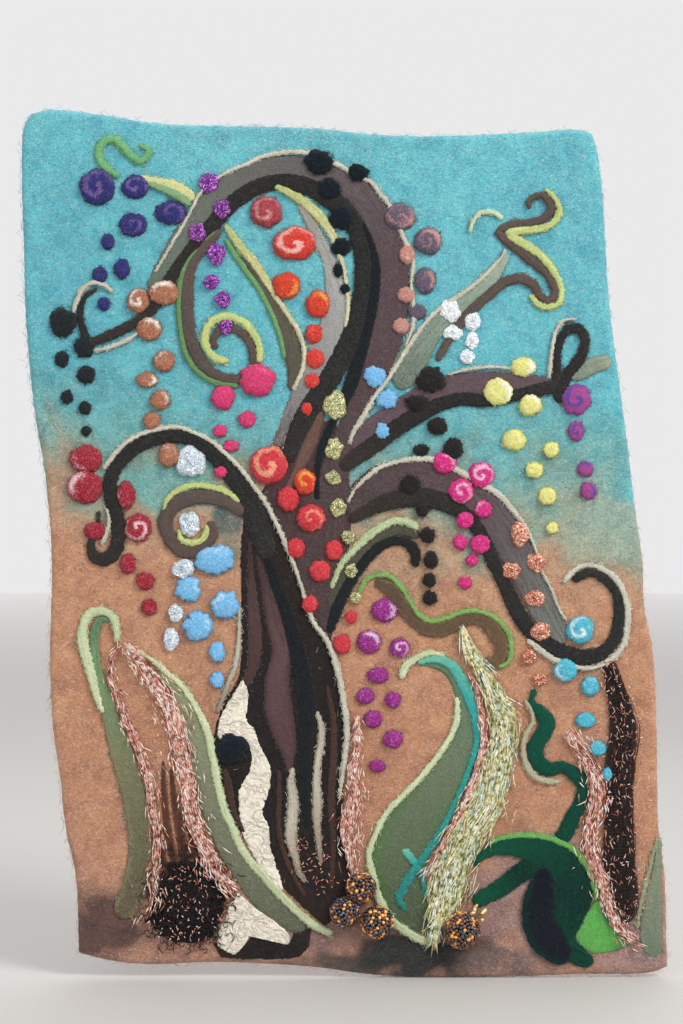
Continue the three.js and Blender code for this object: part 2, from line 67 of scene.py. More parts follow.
def make_camera():
    camera = bpy.data.cameras.new("camera")
    camera.sensor_fit = "VERTICAL"
    camera.sensor_height = SENSOR
    camera.lens = SENSOR * VIEW_DISTANCE / VIEW_HEIGHT
    holder = bpy.data.objects.new("camera", camera)
    x, z = VIEW_CENTRE
    holder.location = (x * MM, FRONT - VIEW_DISTANCE * MM, z * MM)
    holder.rotation_euler = (math.radians(90), 0, 0)
    bpy.context.collection.objects.link(holder)
    bpy.context.scene.camera = holder


# Soft area lights, in metres and watts: place, size, power, tint.
LIGHTS = {
    "key": ((1.2, -1.2, 1.1), 0.75, 5.6, (1.0, 0.98, 0.94)),
    "fill": ((-1.3, -1.5, 0.5), 1.4, 1.6, (0.93, 0.97, 1.0)),
    "back": ((0.3, 1.5, 0.9), 1.2, 1.1, (1.0, 1.0, 1.0)),
}
LIGHT_SPREAD = math.radians(80)
WORLD_COLOUR = (0.83, 0.82, 0.83, 1)
WORLD_STRENGTH = 1.0


def make_lights():
    for name, (place, size, power, tint) in LIGHTS.items():
        lamp = bpy.data.lights.new(name, "AREA")
        lamp.size = size
        lamp.spread = LIGHT_SPREAD
        lamp.energy = power
        lamp.color = tint
        holder = bpy.data.objects.new(name, lamp)
        holder.location = place
        holder.rotation_euler = (-Vector(place)).to_track_quat("-Z", "Y").to_euler()
        bpy.context.collection.objects.link(holder)


def make_world():
    bpy.context.scene.view_settings.view_transform = "Standard"
    world = bpy.data.worlds.new("studio")
    world.use_nodes = True
    sockets = world.node_tree.nodes["Background"].inputs
    sockets["Color"].default_value = WORLD_COLOUR
    sockets["Strength"].default_value = WORLD_STRENGTH
    bpy.context.scene.world = world


FLOOR_RADIUS = 6
# Painted shade on the floor: its colour is darkest within the first distance from the sheet and fades to
# pale by the second, in metres.
FLOOR_PAINTED_SHADE_FADE = (0.3, 6.0)
FLOOR_STOPS = [(0.0, (200, 198, 195)), (0.35, (205, 203, 200)), (1.0, (246, 245, 243))]


def make_floor():
    """A pale round floor at the sheet's foot, with painted shade: a little darker near the sheet."""
    place = (0, 0, SHEET_LOW.z)
    bpy.ops.mesh.primitive_circle_add(vertices=96, radius=FLOOR_RADIUS, fill_type="NGON", location=place)
    floor = bpy.context.object
    floor.name = "floor"
    net = Net("floor_pale", Roughness=0.7)
    spot = net.add("TexCoord").outputs["Object"]
    reach = net.add("VectorMath", {0: spot}, operation="LENGTH").outputs["Value"]
    specks = net.spread(net.noise(spot, 60, detail=4), 0.3, 0.7, -0.02, 0.02)
    # painted shade: the floor is coloured darker towards the sheet
    share = net.maths("ADD", net.spread(reach, *FLOOR_PAINTED_SHADE_FADE), specks)
    net.link(net.ramp(share, FLOOR_STOPS), "Base Color")
    floor.data.materials.append(net.material)


# --- Materials ----------------------------------------------------------------------------------

def colour(rgb):
    """An sRGB colour in 0 to 255 as a linear one with alpha."""
    shares = [value / 255 for value in rgb]
    linear = [s / 12.92 if s <= 0.04045 else ((s + 0.055) / 1.055) ** 2.4 for s in shares]
    return (*linear, 1.0)


def shade(rgb, factor, lift=0):
    return tuple(min(255, max(0, value * factor + lift)) for value in rgb)


class Net:
    """A material's nodes, built with short calls."""

    def __init__(self, name, **sockets):
        self.material = bpy.data.materials.new(name)
        self.material.use_nodes = True
        self.tree = self.material.node_tree
        self.shader = self.tree.nodes["Principled BSDF"]
        for key, value in sockets.items():
            self.shader.inputs[key.replace("_", " ")].default_value = value

    def add(self, kind, inputs=None, **settings):
        node = self.tree.nodes.new("ShaderNode" + kind)
        for key, value in settings.items():
            setattr(node, key, value)
        for key, value in (inputs or {}).items():
            if isinstance(value, bpy.types.NodeSocket):
                self.tree.links.new(value, node.inputs[key])
            else:
                node.inputs[key].default_value = value
        return node

    def link(self, socket, name):
        self.tree.links.new(socket, self.shader.inputs[name])

    def position(self):
        """The place on the object, in millimetres."""
        place = self.add("TexCoord").outputs["Object"]
        return self.scaled(place, (1 / MM,) * 3)

    def attribute(self, name, output):
        return self.add("Attribute", attribute_name=name).outputs[output]

    def scaled(self, vector, by):
        return self.add("VectorMath", {0: vector, 1: by}, operation="MULTIPLY").outputs[0]

    def noise(self, vector, scale, detail=2.0, distortion=0.0):
        sockets = {"Vector": vector, "Scale": scale, "Detail": detail, "Distortion": distortion}
        return self.add("TexNoise", sockets).outputs["Fac"]

    def cells(self, scale):
        """Three numbers from 0 to 1 that are the same all over a small cell."""
        cells = self.add("TexVoronoi", {"Vector": self.position(), "Scale": scale})
        return self.add("SeparateColor", {"Color": cells.outputs["Color"]}).outputs

    def maths(self, operation, first, second):
        return self.add("Math", {0: first, 1: second}, operation=operation).outputs[0]

    def ramp(self, value, stops, kind="LINEAR"):
        node = self.add("ValToRGB", {"Fac": value})
        node.color_ramp.interpolation = kind
        elements = node.color_ramp.elements
        while len(elements) < len(stops):
            elements.new(0.5)
        for element, (at, rgb) in zip(elements, stops):
            element.position = at
            element.color = colour(rgb)
        return node.outputs["Color"]

    def spread(self, value, low, high, out_low=0.0, out_high=1.0):
        sockets = {
            "Value": value, "From Min": low, "From Max": high, "To Min": out_low, "To Max": out_high,
        }
        return self.add("MapRange", sockets).outputs["Result"]

    def mix(self, amount, first, second, blend="MIX"):
        node = self.add("Mix", {0: amount}, data_type="RGBA", blend_type=blend)
        for index, value in ((6, first), (7, second)):
            if isinstance(value, bpy.types.NodeSocket):
                self.tree.links.new(value, node.inputs[index])
            else:
                node.inputs[index].default_value = colour(value)
        return node.outputs[2]

    def bump(self, height, distance, under=None):
        sockets = {"Height": height, "Distance": distance * MM}
        if under is not None:
            sockets["Normal"] = under
        return self.add("Bump", sockets).outputs["Normal"]


def average(stops):
    return tuple(sum(rgb[k] for _, rgb in stops) / len(stops) for k in range(3))


def wool(name, stops, streak=0.22, edge=None, speck=0.3, blend=0.1):
    """Felted wool. stops give its colour by the share attribute; the fibres run along the lay
    attribute and are matted together. edge is the colour that mixes in at its ragged sides,
    and blend says how far the stops run into each other."""
    net = Net(name, Roughness=0.96, Sheen_Weight=0.1, Sheen_Roughness=0.5, Specular_IOR_Level=0.1)
    pale = shade(average(stops), 1.2, 24)
    deep = shade(average(stops), 0.5)
    lay = net.attribute("lay", "Vector")
    place = net.position()
    comb = net.noise(net.scaled(lay, (0.07, 0.8, 0.07)), 1.0, detail=3, distortion=0.9)
    matted = net.noise(place, 0.5, detail=5, distortion=1.6)
    grain = net.noise(place, 2.0, detail=4, distortion=0.8)
    wander = net.spread(matted if blend > 0.1 else comb, 0.3, 0.7, -blend, blend)
    base = net.ramp(net.maths("ADD", net.attribute("share", "Fac"), wander), stops)
    if edge is not None:
        ragged = net.maths("ADD", net.attribute("edge", "Fac"), net.spread(matted, 0.3, 0.7, -0.28, 0.28))
        base = net.mix(net.spread(ragged, 0.5, 1.05, 0.0, 0.95), base, edge)
    base = net.mix(net.spread(comb, 0.36, 0.6, streak, 0.0), base, deep)
    base = net.mix(net.spread(matted, 0.5, 0.72, 0.0, streak), base, pale)
    base = net.mix(net.spread(grain, 0.52, 0.7, 0.0, speck), base, pale)
    base = net.mix(net.spread(grain, 0.3, 0.46, speck, 0.0), base, deep)
    net.link(base, "Base Color")
    net.link(net.bump(grain, 0.4, under=net.bump(matted, 0.9)), "Normal")
    return net.material


def plain_fibre(name, rgb, **sockets):
    """Loose fibres, each a little lighter or darker by where it lies."""
    net = Net(name, Roughness=0.85, **sockets)
    patches = net.noise(net.position(), 0.4, detail=2)
    net.link(net.ramp(patches, [(0.3, shade(rgb, 0.72)), (0.7, shade(rgb, 1.12, 8))]), "Base Color")
    return net.material


def foil(name, rgb, glint, roughness=0.3, metal=0.3, depth=0.5):
    """Metallic fibres with painted glints, paler patches that stand for highlights, and dark stretches,
    depth times their colour, that are painted shade.
    """
    net = Net(name, Metallic=metal, Specular_IOR_Level=0.6)
    cells = net.noise(net.position(), 0.45, detail=3)
    # painted light: the ramp runs from painted shade through the colour to a painted highlight
    base = net.ramp(cells, [(0.34, shade(rgb, depth)), (0.46, rgb), (0.57, glint)])
    net.link(base, "Base Color")
    net.link(net.spread(cells, 0.3, 0.7, roughness + 0.15, roughness - 0.08), "Roughness")
    return net.material


def glitter(name, rgb, painted_glint_and_shade, depth=0.6):
    """Flakes: each small cell has its own shine and one tone of five; the paler and darker tones are
    painted glints and painted shade on the flakes.
    """
    net = Net(name, Metallic=0.2, Specular_IOR_Level=0.8)
    pick = net.cells(1.9)
    # painted light: the paler flakes are painted glints and the darker ones painted shade
    stops = [(0.0, shade(rgb, depth)), (0.18, rgb), (0.55, painted_glint_and_shade[0]), (0.75, rgb), (0.9, painted_glint_and_shade[1])]
    net.link(net.ramp(pick[0], stops, "CONSTANT"), "Base Color")
    net.link(net.spread(pick[1], 0.0, 1.0, 0.12, 0.55), "Roughness")
    net.link(net.bump(pick[2], 0.2), "Normal")
    return net.material


def beads(name, rgb, painted_sparkle):
    """Small glass beads, dark, with lighter and sparkling cells among them that are painted highlights on
    the glass.
    """
    net = Net(name, Roughness=0.12, Specular_IOR_Level=0.8, Coat_Weight=0.5)
    # the lighter and sparkle tones are painted highlights
    stops = [(0.0, rgb), (0.55, shade(rgb, 1.9, 10)), (0.8, painted_sparkle)]
    net.link(net.ramp(net.cells(0.42)[0], stops), "Base Color")
    return net.material


# --- Curves ---------------------------------------------------------------------------------------

def smooth(route, step):
    """Points about every step along a smooth curve through the route's points."""
    points = np.array(route, float)
    ends = (2 * points[0] - points[1], 2 * points[-1] - points[-2])
    ring = np.vstack([ends[0], points, ends[1]])
    knots = np.concatenate([[0], np.cumsum(np.sqrt(np.linalg.norm(np.diff(ring, axis=0), axis=1)) + 1e-6)])
    out = []
    for i in range(1, len(ring) - 2):
        span = np.linalg.norm(ring[i + 1][:2] - ring[i][:2])
        count = max(1, math.ceil(span / step))
        t0, t1, t2, t3 = knots[i - 1:i + 3]
        for t in np.linspace(t1, t2, count, endpoint=False):
            a1 = ((t1 - t) * ring[i - 1] + (t - t0) * ring[i]) / (t1 - t0)
            a2 = ((t2 - t) * ring[i] + (t - t1) * ring[i + 1]) / (t2 - t1)
            a3 = ((t3 - t) * ring[i + 1] + (t - t2) * ring[i + 2]) / (t3 - t2)
            b1 = ((t2 - t) * a1 + (t - t0) * a2) / (t2 - t0)
            b2 = ((t3 - t) * a2 + (t - t1) * a3) / (t3 - t1)
            out.append(((t2 - t) * b1 + (t - t1) * b2) / (t2 - t1))
    out.append(points[-1])
    return np.array(out)


def lengths_along(points):
    steps = np.linalg.norm(np.diff(points[:, :2], axis=0), axis=1)
    return np.concatenate([[0], np.cumsum(steps)])


def even(points, count):
    """count points spread evenly along a polyline."""
    at = lengths_along(points)
    spots = np.linspace(0, at[-1], count)
    return np.column_stack([np.interp(spots, at, points[:, k]) for k in range(points.shape[1])])


def tangents(points):
    along = np.gradient(points[:, :2], axis=0)
    return along / np.maximum(np.linalg.norm(along, axis=1), 1e-9)[:, None]


def perlin(x, y, z=0.0):
    return noise.noise(Vector((x, y, z)))


# --- Meshes ---------------------------------------------------------------------------------------

class Piece:
    """Collects solids given as (x, height, z) in millimetres and makes them one object."""

    def __init__(self):
        self.points = []
        self.faces = []
        self.lay = []
        self.share = []
        self.edge = []

    def point(self, x, height, z, lay=(0, 0, 0), share=0.5, edge=0.0):
        self.points.append((x * MM, FRONT - height * MM, z * MM))
        self.lay.append(lay)
        self.share.append(share)
        self.edge.append(edge)
        return len(self.points) - 1

    def finish(self, name, material, slot, replaces=(), smooth_shade=True):
        mesh = bpy.data.meshes.new(name)
        mesh.from_pydata(self.points, [], self.faces)
        work = bmesh.new()
        work.from_mesh(mesh)
        bmesh.ops.recalc_face_normals(work, faces=work.faces)
        work.to_mesh(mesh)
        work.free()
        lay = mesh.attributes.new("lay", "FLOAT_VECTOR", "POINT")
        lay.data.foreach_set("vector", np.array(self.lay, np.float32).ravel())
        for label, values in (("share", self.share), ("edge", self.edge)):
            field = mesh.attributes.new(label, "FLOAT", "POINT")
            field.data.foreach_set("value", np.array(values, np.float32))
        mesh.polygons.foreach_set("use_smooth", [smooth_shade] * len(mesh.polygons))
        mesh.materials.append(material)
        made = bpy.data.objects.new(name, mesh)
        bpy.context.collection.objects.link(made)
        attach(made, "root")
        if replaces:
            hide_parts(*replaces)
        return made


def loft(piece, rings, capped=True):
    """Quads from each ring of points to the next, and a cap at either end."""
    count = len(rings[0])
    for near, far in zip(rings, rings[1:]):
        for k in range(count):
            m = (k + 1) % count
            piece.faces.append((near[k], near[m], far[m], far[k]))
    if capped:
        piece.faces.append(tuple(reversed(rings[0])))
        piece.faces.append(tuple(rings[-1]))


SKIRT = -0.7
SKIRT_INSET = 0.08
END_TAPER = 3
RUN_SPACING = 900


def add_ribbon(piece, left, right, lift, crown, columns, lumps=0.16, frill=0.42):
    """A low felted solid between two edge lines, crowned across, with ragged sides.
    It drops into the sheet at its sides and thins at its ends. Its share runs from 0 to 1 along it."""
    along = lengths_along((left + right) / 2)
    total = max(along[-1], 1e-6)
    seed = RUN_SPACING * (len(piece.points) % 17)
    width = np.maximum(np.linalg.norm(right[:, :2] - left[:, :2], axis=1), 0.2)
    grid = []
    for r in range(len(left)):
        ease = 0.4 + 0.6 * math.sqrt(max(0, min(1, along[r] / END_TAPER, (total - along[r]) / END_TAPER)))
        high = min(crown, 0.4 * width[r] + 0.15) * ease
        share = along[r] / total
        tuck = (along[r] + seed, 0, seed)
        fray = [
            frill * (RNG.uniform(-1, 1) + 0.8 * perlin(along[r] * 0.4 + seed, side * 9.0))
            for side in (-1, 1)
        ]
        line = [piece.point(*mid_point(left[r], right[r], SKIRT_INSET, SKIRT), tuck, share, 1)]
        for c in range(columns):
            v = -1 + 2 * c / (columns - 1)
            across = v * width[r] / 2
            swing = fray[0 if v < 0 else 1] * abs(v) ** 5 * (-1 if v < 0 else 1)
            t = (v + 1) / 2 + swing / width[r]
            x = left[r][0] * (1 - t) + right[r][0] * t
            z = left[r][1] * (1 - t) + right[r][1] * t
            dome = (1 - abs(v) ** 3.2) ** 0.6
            rough = perlin(x * 0.45, z * 0.45, 5) + 0.6 * perlin(x * 1.25, z * 1.25, 8)
            rough += 0.5 * perlin(along[r] * 0.12 + seed, across * 1.3, seed)
            height = lift * ease + high * dome + lumps * rough * (0.4 + 0.6 * dome)
            line.append(piece.point(x, height, z, (along[r] + seed, across, seed), share, abs(v)))
        line.append(piece.point(*mid_point(left[r], right[r], 1 - SKIRT_INSET, SKIRT), tuck, share, 1))
        grid.append(line)
    loft(piece, grid)


def mid_point(first, second, t, height):
    return first[0] * (1 - t) + second[0] * t, height, first[1] * (1 - t) + second[1] * t


STEP = 0.75


def edges_of(route):
    """The two edge lines of a route of (x, z, width) points, with its ends rounded."""
    points = smooth(route, STEP)
    along = tangents(points)
    at = lengths_along(points)
    for near, width in ((at, points[0][2]), (at[-1] - at, points[-1][2])):
        reach = max(0.6 * width, STEP)
        points[:, 2] *= np.sqrt(1 - (1 - np.clip(near / reach, 0.06, 1)) ** 2)
    side = np.column_stack([-along[:, 1], along[:, 0]]) * (points[:, 2:3] / 2)
    return points[:, :2] - side, points[:, :2] + side


COLUMN_WIDTH = 0.6
FEWEST_COLUMNS, MOST_COLUMNS = 7, 26


def columns_for(width):
    return int(min(MOST_COLUMNS, max(FEWEST_COLUMNS, round(width / COLUMN_WIDTH))))


def strand(name, material, slot, layer, *runs, replaces=(), wisps=None, widen=1.0):
    """Laid wool along one or more runs, each as wide as its route says times widen.
    wisps names the colour of the stray fibres along it."""
    piece = Piece()
    for route in runs:
        route = [(x, z, width * widen) for x, z, width in route]
        left, right = edges_of(route)
        widest = max(point[2] for point in route)
        add_ribbon(piece, left, right, *layer, columns_for(widest))
        if wisps:
            WISPS[wisps].along(route, layer)
    piece.finish(name, material, slot, replaces)


def area(name, material, slot, layer, left, right, rows, columns, replaces=(), lumps=0.2, frill=0.4):
    """Laid wool that fills the space between two edge lines."""
    piece = Piece()
    first = even(smooth(left, 1.0), rows)
    second = even(smooth(right, 1.0), rows)
    add_ribbon(piece, first, second, *layer, columns, lumps=lumps, frill=frill)
    piece.finish(name, material, slot, replaces)


def add_fibre(piece, points, radius):
    """A thin three-sided fibre through (x, height, z) points, closed at both ends."""
    rings = []
    last = len(points) - 1
    for i, (x, height, z) in enumerate(points):
        before = points[max(0, i - 1)]
        after = points[min(last, i + 1)]
        dx, dz = after[0] - before[0], after[2] - before[2]
        size = math.hypot(dx, dz) or 1.0
        sx, sz = -dz / size * radius, dx / size * radius
        thin = 0.35 if i in (0, last) else 1.0
        rings.append((
            piece.point(x - sx * thin, height, z - sz * thin),
            piece.point(x + sx * thin, height, z + sz * thin),
            piece.point(x, height + radius * 1.3 * thin, z),
        ))
    loft(piece, rings)


def walk(x, z, angle, stride, heights, turns):
    """Points of a short fibre from (x, z): one at each height, with a turn after each."""
    path = []
    for height, turn in zip(heights, turns):
        path.append((x, height, z))
        angle += turn
        x += math.cos(angle) * stride
        z += math.sin(angle) * stride
    return path


WISP_SPACING = 1.5
WISPS_PER_SPACE = 1.5 * 1.15


class Wisps:
    """Short stray fibres that soften the edges of laid wool, all of one colour."""

    def __init__(self):
        self.piece = Piece()

    def along(self, route, layer):
        points = smooth(route, WISP_SPACING)
        heading = tangents(points)
        for _ in range(int(len(points) * WISPS_PER_SPACE)):
            i = RNG.randrange(1, len(points) - 1) if len(points) > 3 else 0
            side = RNG.choice((-1, 1))
            self.one(points[i], heading[i], side, layer)

    def one(self, spot, heading, side, layer):
        half = spot[2] / 2
        angle = math.atan2(heading[1], heading[0])
        turn = side * RNG.uniform(0.0, 0.6)
        angle += turn if RNG.random() < 0.5 else math.pi - turn
        bend = RNG.uniform(-0.2, 0.2)
        reach = RNG.uniform(1.2, 3.2)
        start = half * RNG.uniform(0.85, 1.04) * side
        x = spot[0] - heading[1] * start
        z = spot[1] + heading[0] * start
        top = layer[0] + layer[1] * 0.3
        heights = [max(0.15, top * (1 - 0.3 * k) + 0.1) for k in range(4)]
        add_fibre(self.piece, walk(x, z, angle, reach / 3, heights, [bend] * 4), RNG.uniform(0.09, 0.15))


# --- The felt sheet -------------------------------------------------------------------------------

SHEET_TOP = [
    (-157, 216), (-148, 218), (-126, 216), (-92, 211), (-60, 210), (-22, 209), (26, 205), (52, 205),
    (98, 207), (116, 208), (123.5, 206),
]
SHEET_RIGHT = [
    (161.5, -211), (161, -200), (160, -165), (157, -142), (156, -90), (154, -52), (150, -32), (149, -8),
    (145, 20), (141, 54), (136, 91), (132, 125), (129, 174), (126, 199), (123.5, 206),
]
SHEET_FOOT = [
    (-133.5, -204), (-123, -207), (-102, -210), (-65, -209), (-20, -211), (22, -216), (88, -216),
    (116, -215), (154, -214), (161.5, -211),
]
SHEET_LEFT = [
    (-133.5, -204), (-134, -181), (-135, -166), (-140, -142), (-143, -115), (-146, -95), (-148, -60),
    (-147, -10), (-150, 33), (-156, 70), (-160, 115), (-161, 150), (-162, 184), (-161, 209),
    (-157, 216),
]
SHEET_GRID = (150, 205)
SHEET_SPAN = (290.0, 420.0)
RIM = 3.0
RIM_STEPS = [0, 0.25, 0.7, 1.3, 2.1, RIM]


def rim_spaced(count, length):
    """Shares from 0 to 1, closer together at both ends so that the rim can round over."""
    near = np.array(RIM_STEPS) / length
    inner = np.linspace(near[-1], 1 - near[-1], count - 2 * len(near) + 2)[1:-1]
    return np.concatenate([near, inner, 1 - near[::-1]])


def edge_at(side, shares):
    line = smooth(side, 1.0)
    at = lengths_along(line)
    at = at / at[-1]
    return np.column_stack([np.interp(shares, at, line[:, k]) for k in range(2)])


def make_sheet():
    """The felt sheet: a grid of points between its four edges, for the front and for the back."""
    width, height = SHEET_SPAN
    across = rim_spaced(SHEET_GRID[0], width)
    up = rim_spaced(SHEET_GRID[1], height)
    top, foot = edge_at(SHEET_TOP, across), edge_at(SHEET_FOOT, across)
    left, right = edge_at(SHEET_LEFT, up), edge_at(SHEET_RIGHT, up)
    piece = Piece()
    front, back = [], []
    for j, v in enumerate(up):
        front.append([])
        back.append([])
        for i, u in enumerate(across):
            spot = (1 - v) * foot[i] + v * top[i] + (1 - u) * left[j] + u * right[j]
            spot = spot - (1 - u) * (1 - v) * foot[0] - u * (1 - v) * foot[-1]
            x, z = spot - (1 - u) * v * top[0] - u * v * top[-1]
            inset = min(u * width, (1 - u) * width, v * height, (1 - v) * height, RIM) / RIM
            bulge = math.sqrt(max(0.0, 1 - (1 - inset) ** 2))
            lumps = 0.45 * perlin(x * 0.045, z * 0.045, 1) + 0.3 * perlin(x * 0.16, z * 0.16, 2)
            lumps += 0.14 * perlin(x * 0.45, z * 0.45, 3)
            if 0 in (i, j) or i == len(across) - 1 or j == len(up) - 1:
                wave = 0.35 * perlin(x * 0.3, z * 0.3, 9)
                both = piece.point(x + wave, -THICKNESS / 2, z + wave, (x, z, 0))
                front[-1].append(both)
                back[-1].append(both)
                continue
            swell = bulge * (THICKNESS / 2)
            front[-1].append(piece.point(x, swell - THICKNESS / 2 + bulge * (lumps - 0.1), z, (x, z, 0)))
            dimple = 0.25 * max(0.0, perlin(x * 0.09, z * 0.09, 6))
            back[-1].append(piece.point(x, -THICKNESS / 2 - swell + bulge * dimple, z, (x, z, 0)))
    for j in range(len(up) - 1):
        for i in range(len(across) - 1):
            for grid in (front, back):
                piece.faces.append((grid[j][i], grid[j][i + 1], grid[j + 1][i + 1], grid[j + 1][i]))
    made = piece.finish("felt_sheet_wool", felt_material(), "felt_sheet", ["felt_sheet"])


TURQUOISE = (82, 188, 203)
PEACH = (198, 138, 99)

# Areas of another colour in the felt: centre, half sizes, colour, strength.
FELT_PATCHES = [
    ((-86, 30), (26, 16), (92, 168, 166), 0.85),
    ((-58, 12), (9, 11), (58, 92, 92), 0.85),
    ((-57, -2), (8, 9), (132, 130, 102), 0.7),
    ((-122, -192), (30, 18), (78, 44, 38), 0.92),
    ((102, -176), (44, 34), (150, 114, 112), 0.8),
    ((142, -196), (26, 20), (150, 120, 124), 0.7),
    ((-12, -197), (24, 10), (128, 96, 92), 0.8),
    ((4, -209), (34, 7), (62, 54, 46), 0.9),
    ((40, -206), (38, 14), (12, 12, 11), 1.0),
    ((80, -208), (30, 8), (112, 88, 86), 0.75),
    ((130, 8), (28, 20), (162, 176, 154), 0.75),
    ((-20, 205), (60, 14), (96, 180, 190), 0.4),
    ((-140, 120), (26, 60), (66, 168, 190), 0.4),
    ((110, 150), (40, 60), (84, 182, 200), 0.4),
    ((-70, -110), (18, 45), (176, 116, 82), 0.5),
]


def felt_material():
    net = Net("felt_mottled", Roughness=0.95, Sheen_Weight=0.25, Sheen_Roughness=0.5)
    place = net.position()
    axes = net.add("SeparateXYZ", {"Vector": place})
    drift = net.noise(place, 0.022, detail=3, distortion=0.8)
    tilted = net.maths("ADD", axes.outputs["Z"], net.maths("MULTIPLY", axes.outputs["X"], 0.13))
    level = net.maths("ADD", tilted, net.spread(drift, 0.3, 0.7, -26, 26))
    share = net.spread(level, -216, 218)
    stops = [
        (0.0, (170, 116, 92)), (0.2, (192, 131, 94)), (0.45, PEACH), (0.51, (184, 148, 116)),
        (0.56, (140, 160, 140)), (0.61, (96, 174, 176)), (0.68, TURQUOISE), (1.0, (90, 192, 206)),
    ]
    plain = base = net.ramp(share, stops)
    for centre, size, tint, strength in FELT_PATCHES:
        offset = net.add("VectorMath", {0: place, 1: (centre[0], 0, centre[1])}, operation="SUBTRACT")
        shrunk = net.scaled(offset.outputs[0], (1 / size[0], 0, 1 / size[1]))
        reach = net.add("VectorMath", {0: shrunk}, operation="LENGTH").outputs["Value"]
        ragged = net.maths("ADD", reach, net.spread(net.noise(place, 0.07, detail=3), 0.3, 0.7, -0.3, 0.3))
        base = net.mix(net.spread(ragged, 0.6, 1.15, strength, 0.0), base, tint)
    base = net.mix(net.spread(axes.outputs["Y"], -0.6 * THICKNESS, -0.3 * THICKNESS), base, plain)
    light = net.spread(net.add("RGBToBW", {"Color": base}).outputs["Val"], 0.03, 0.2, 0.2, 1.0)
    mottle = net.noise(place, 0.11, detail=4, distortion=0.7)
    base = net.mix(net.spread(mottle, 0.34, 0.5, 0.42, 0.0), base, (44, 96, 112), "SOFT_LIGHT")
    base = net.mix(net.spread(mottle, 0.52, 0.68, 0.0, 0.4), base, (236, 240, 226), "SOFT_LIGHT")
    hairs = net.noise(net.scaled(place, (0.5, 0.5, 1.3)), 1.0, detail=5, distortion=2.2)
    pale_hairs = net.maths("MULTIPLY", net.spread(hairs, 0.55, 0.7, 0.0, 0.3), light)
    base = net.mix(pale_hairs, base, (236, 232, 216))
    base = net.mix(net.spread(hairs, 0.3, 0.44, 0.3, 0.0), base, (40, 60, 66))
    grain = net.noise(place, 1.1, detail=5, distortion=1.4)
    pale_grain = net.maths("MULTIPLY", net.spread(grain, 0.53, 0.68, 0.0, 0.3), light)
    base = net.mix(pale_grain, base, (240, 238, 226))
    base = net.mix(net.spread(grain, 0.32, 0.46, 0.3, 0.0), base, (52, 66, 66))
    net.link(base, "Base Color")
    net.link(net.bump(grain, 0.45, under=net.bump(hairs, 0.8)), "Normal")
    return net.material


def add_stray(piece, x, z, angle, reach, height, radius):
    bend = RNG.uniform(-0.35, 0.35)
    heights = [height * (0.4 + 0.6 * math.sin(math.pi * k / 3)) for k in range(4)]
    add_fibre(piece, walk(x, z, angle, reach / 3, heights, [bend] * 4), radius)


FUZZ_COUNT = 2600
FUZZ_REACH = (150, 205)
FUZZ_FOOT = -172
FUZZ_MARGIN = 6
RIM_HAIRS_PER_MM = 1.1
SKYLINE = 22
SKYLINE_DRIFT = 16


def make_sheet_fuzz():
    """Stray fibres lying on the sheet's front and standing off its rim."""
    upper, lower = Piece(), Piece()
    for _ in range(FUZZ_COUNT):
        x, z = (RNG.uniform(-reach, reach) for reach in FUZZ_REACH)
        if z < FUZZ_FOOT or not inside_sheet(x, z, FUZZ_MARGIN):
            continue
        piece = upper if z > SKYLINE + RNG.uniform(-SKYLINE_DRIFT, SKYLINE_DRIFT) else lower
        add_stray(piece, x, z, RNG.uniform(0, 2 * math.pi), RNG.uniform(3, 9), RNG.uniform(0.2, 0.7), 0.07)
    for side in (SHEET_TOP, SHEET_FOOT, SHEET_LEFT, SHEET_RIGHT):
        line = smooth(side, 2.0)
        line = even(line, int(lengths_along(line)[-1] * RIM_HAIRS_PER_MM))
        heading = tangents(line)
        for spot, along in zip(line, heading):
            piece = upper if spot[1] > SKYLINE else lower
            angle = math.atan2(along[1], along[0]) + RNG.uniform(-0.5, 0.5) + RNG.choice((0, math.pi))
            x, z = spot + np.array([RNG.uniform(-1.2, 0.6), RNG.uniform(-1.2, 0.6)])
            add_stray(piece, x, z, angle, RNG.uniform(2, 6), 0, 0.08)
            sink_last_fibre(piece, RNG.uniform(0.8, THICKNESS - 0.8))
    blue = plain_fibre("fuzz_blue", (110, 190, 205), Sheen_Weight=0.3)
    tan = plain_fibre("fuzz_tan", (214, 172, 140), Sheen_Weight=0.3)
    upper.finish("sheet_fuzz_upper", blue, "felt_sheet")
    lower.finish("sheet_fuzz_lower", tan, "felt_sheet")


FIBRE_POINTS = 12


def sink_last_fibre(piece, depth):
    """Moves the last fibre of a piece back into the thickness of the rim."""
    for index in range(len(piece.points) - FIBRE_POINTS, len(piece.points)):
        x, y, z = piece.points[index]
        piece.points[index] = (x, y + depth * MM, z)


def inside_sheet(x, z, margin):
    left = np.interp(z, [p[1] for p in SHEET_LEFT], [p[0] for p in SHEET_LEFT])
    right = np.interp(z, [p[1] for p in SHEET_RIGHT], [p[0] for p in SHEET_RIGHT])
    return left + margin < x < right - margin


# --- Dots -----------------------------------------------------------------------------------------

RINGS = 10
TURN = 48
FLAKE_RINGS = 8
FLAKE_TURN = 26


def add_skirt(piece, x, z, width, length, count, inset, lay=(0, 0, 0), share=0.5, edge=0.0):
    """The ring of points under a dot, out of sight in the sheet."""
    ring = []
    for s in range(count):
        theta = 2 * math.pi * s / count
        spot = (x + math.cos(theta) * inset * width, SKIRT, z + math.sin(theta) * inset * length)
        ring.append(piece.point(*spot, lay, share, edge))
    return ring


def close_dome(piece, centre, rings, split=False):
    """Joins a centre point and its rings into a closed dome, in quads or in split quads."""
    count = len(rings[0])
    for s in range(count):
        t = (s + 1) % count
        piece.faces.append((centre, rings[0][s], rings[0][t]))
        for inner, outer in zip(rings, rings[1:]):
            if split:
                piece.faces.append((inner[s], outer[s], outer[t]))
                piece.faces.append((inner[s], outer[t], inner[t]))
            else:
                piece.faces.append((inner[s], outer[s], outer[t], inner[t]))
    piece.faces.append(tuple(reversed(rings[-1])))


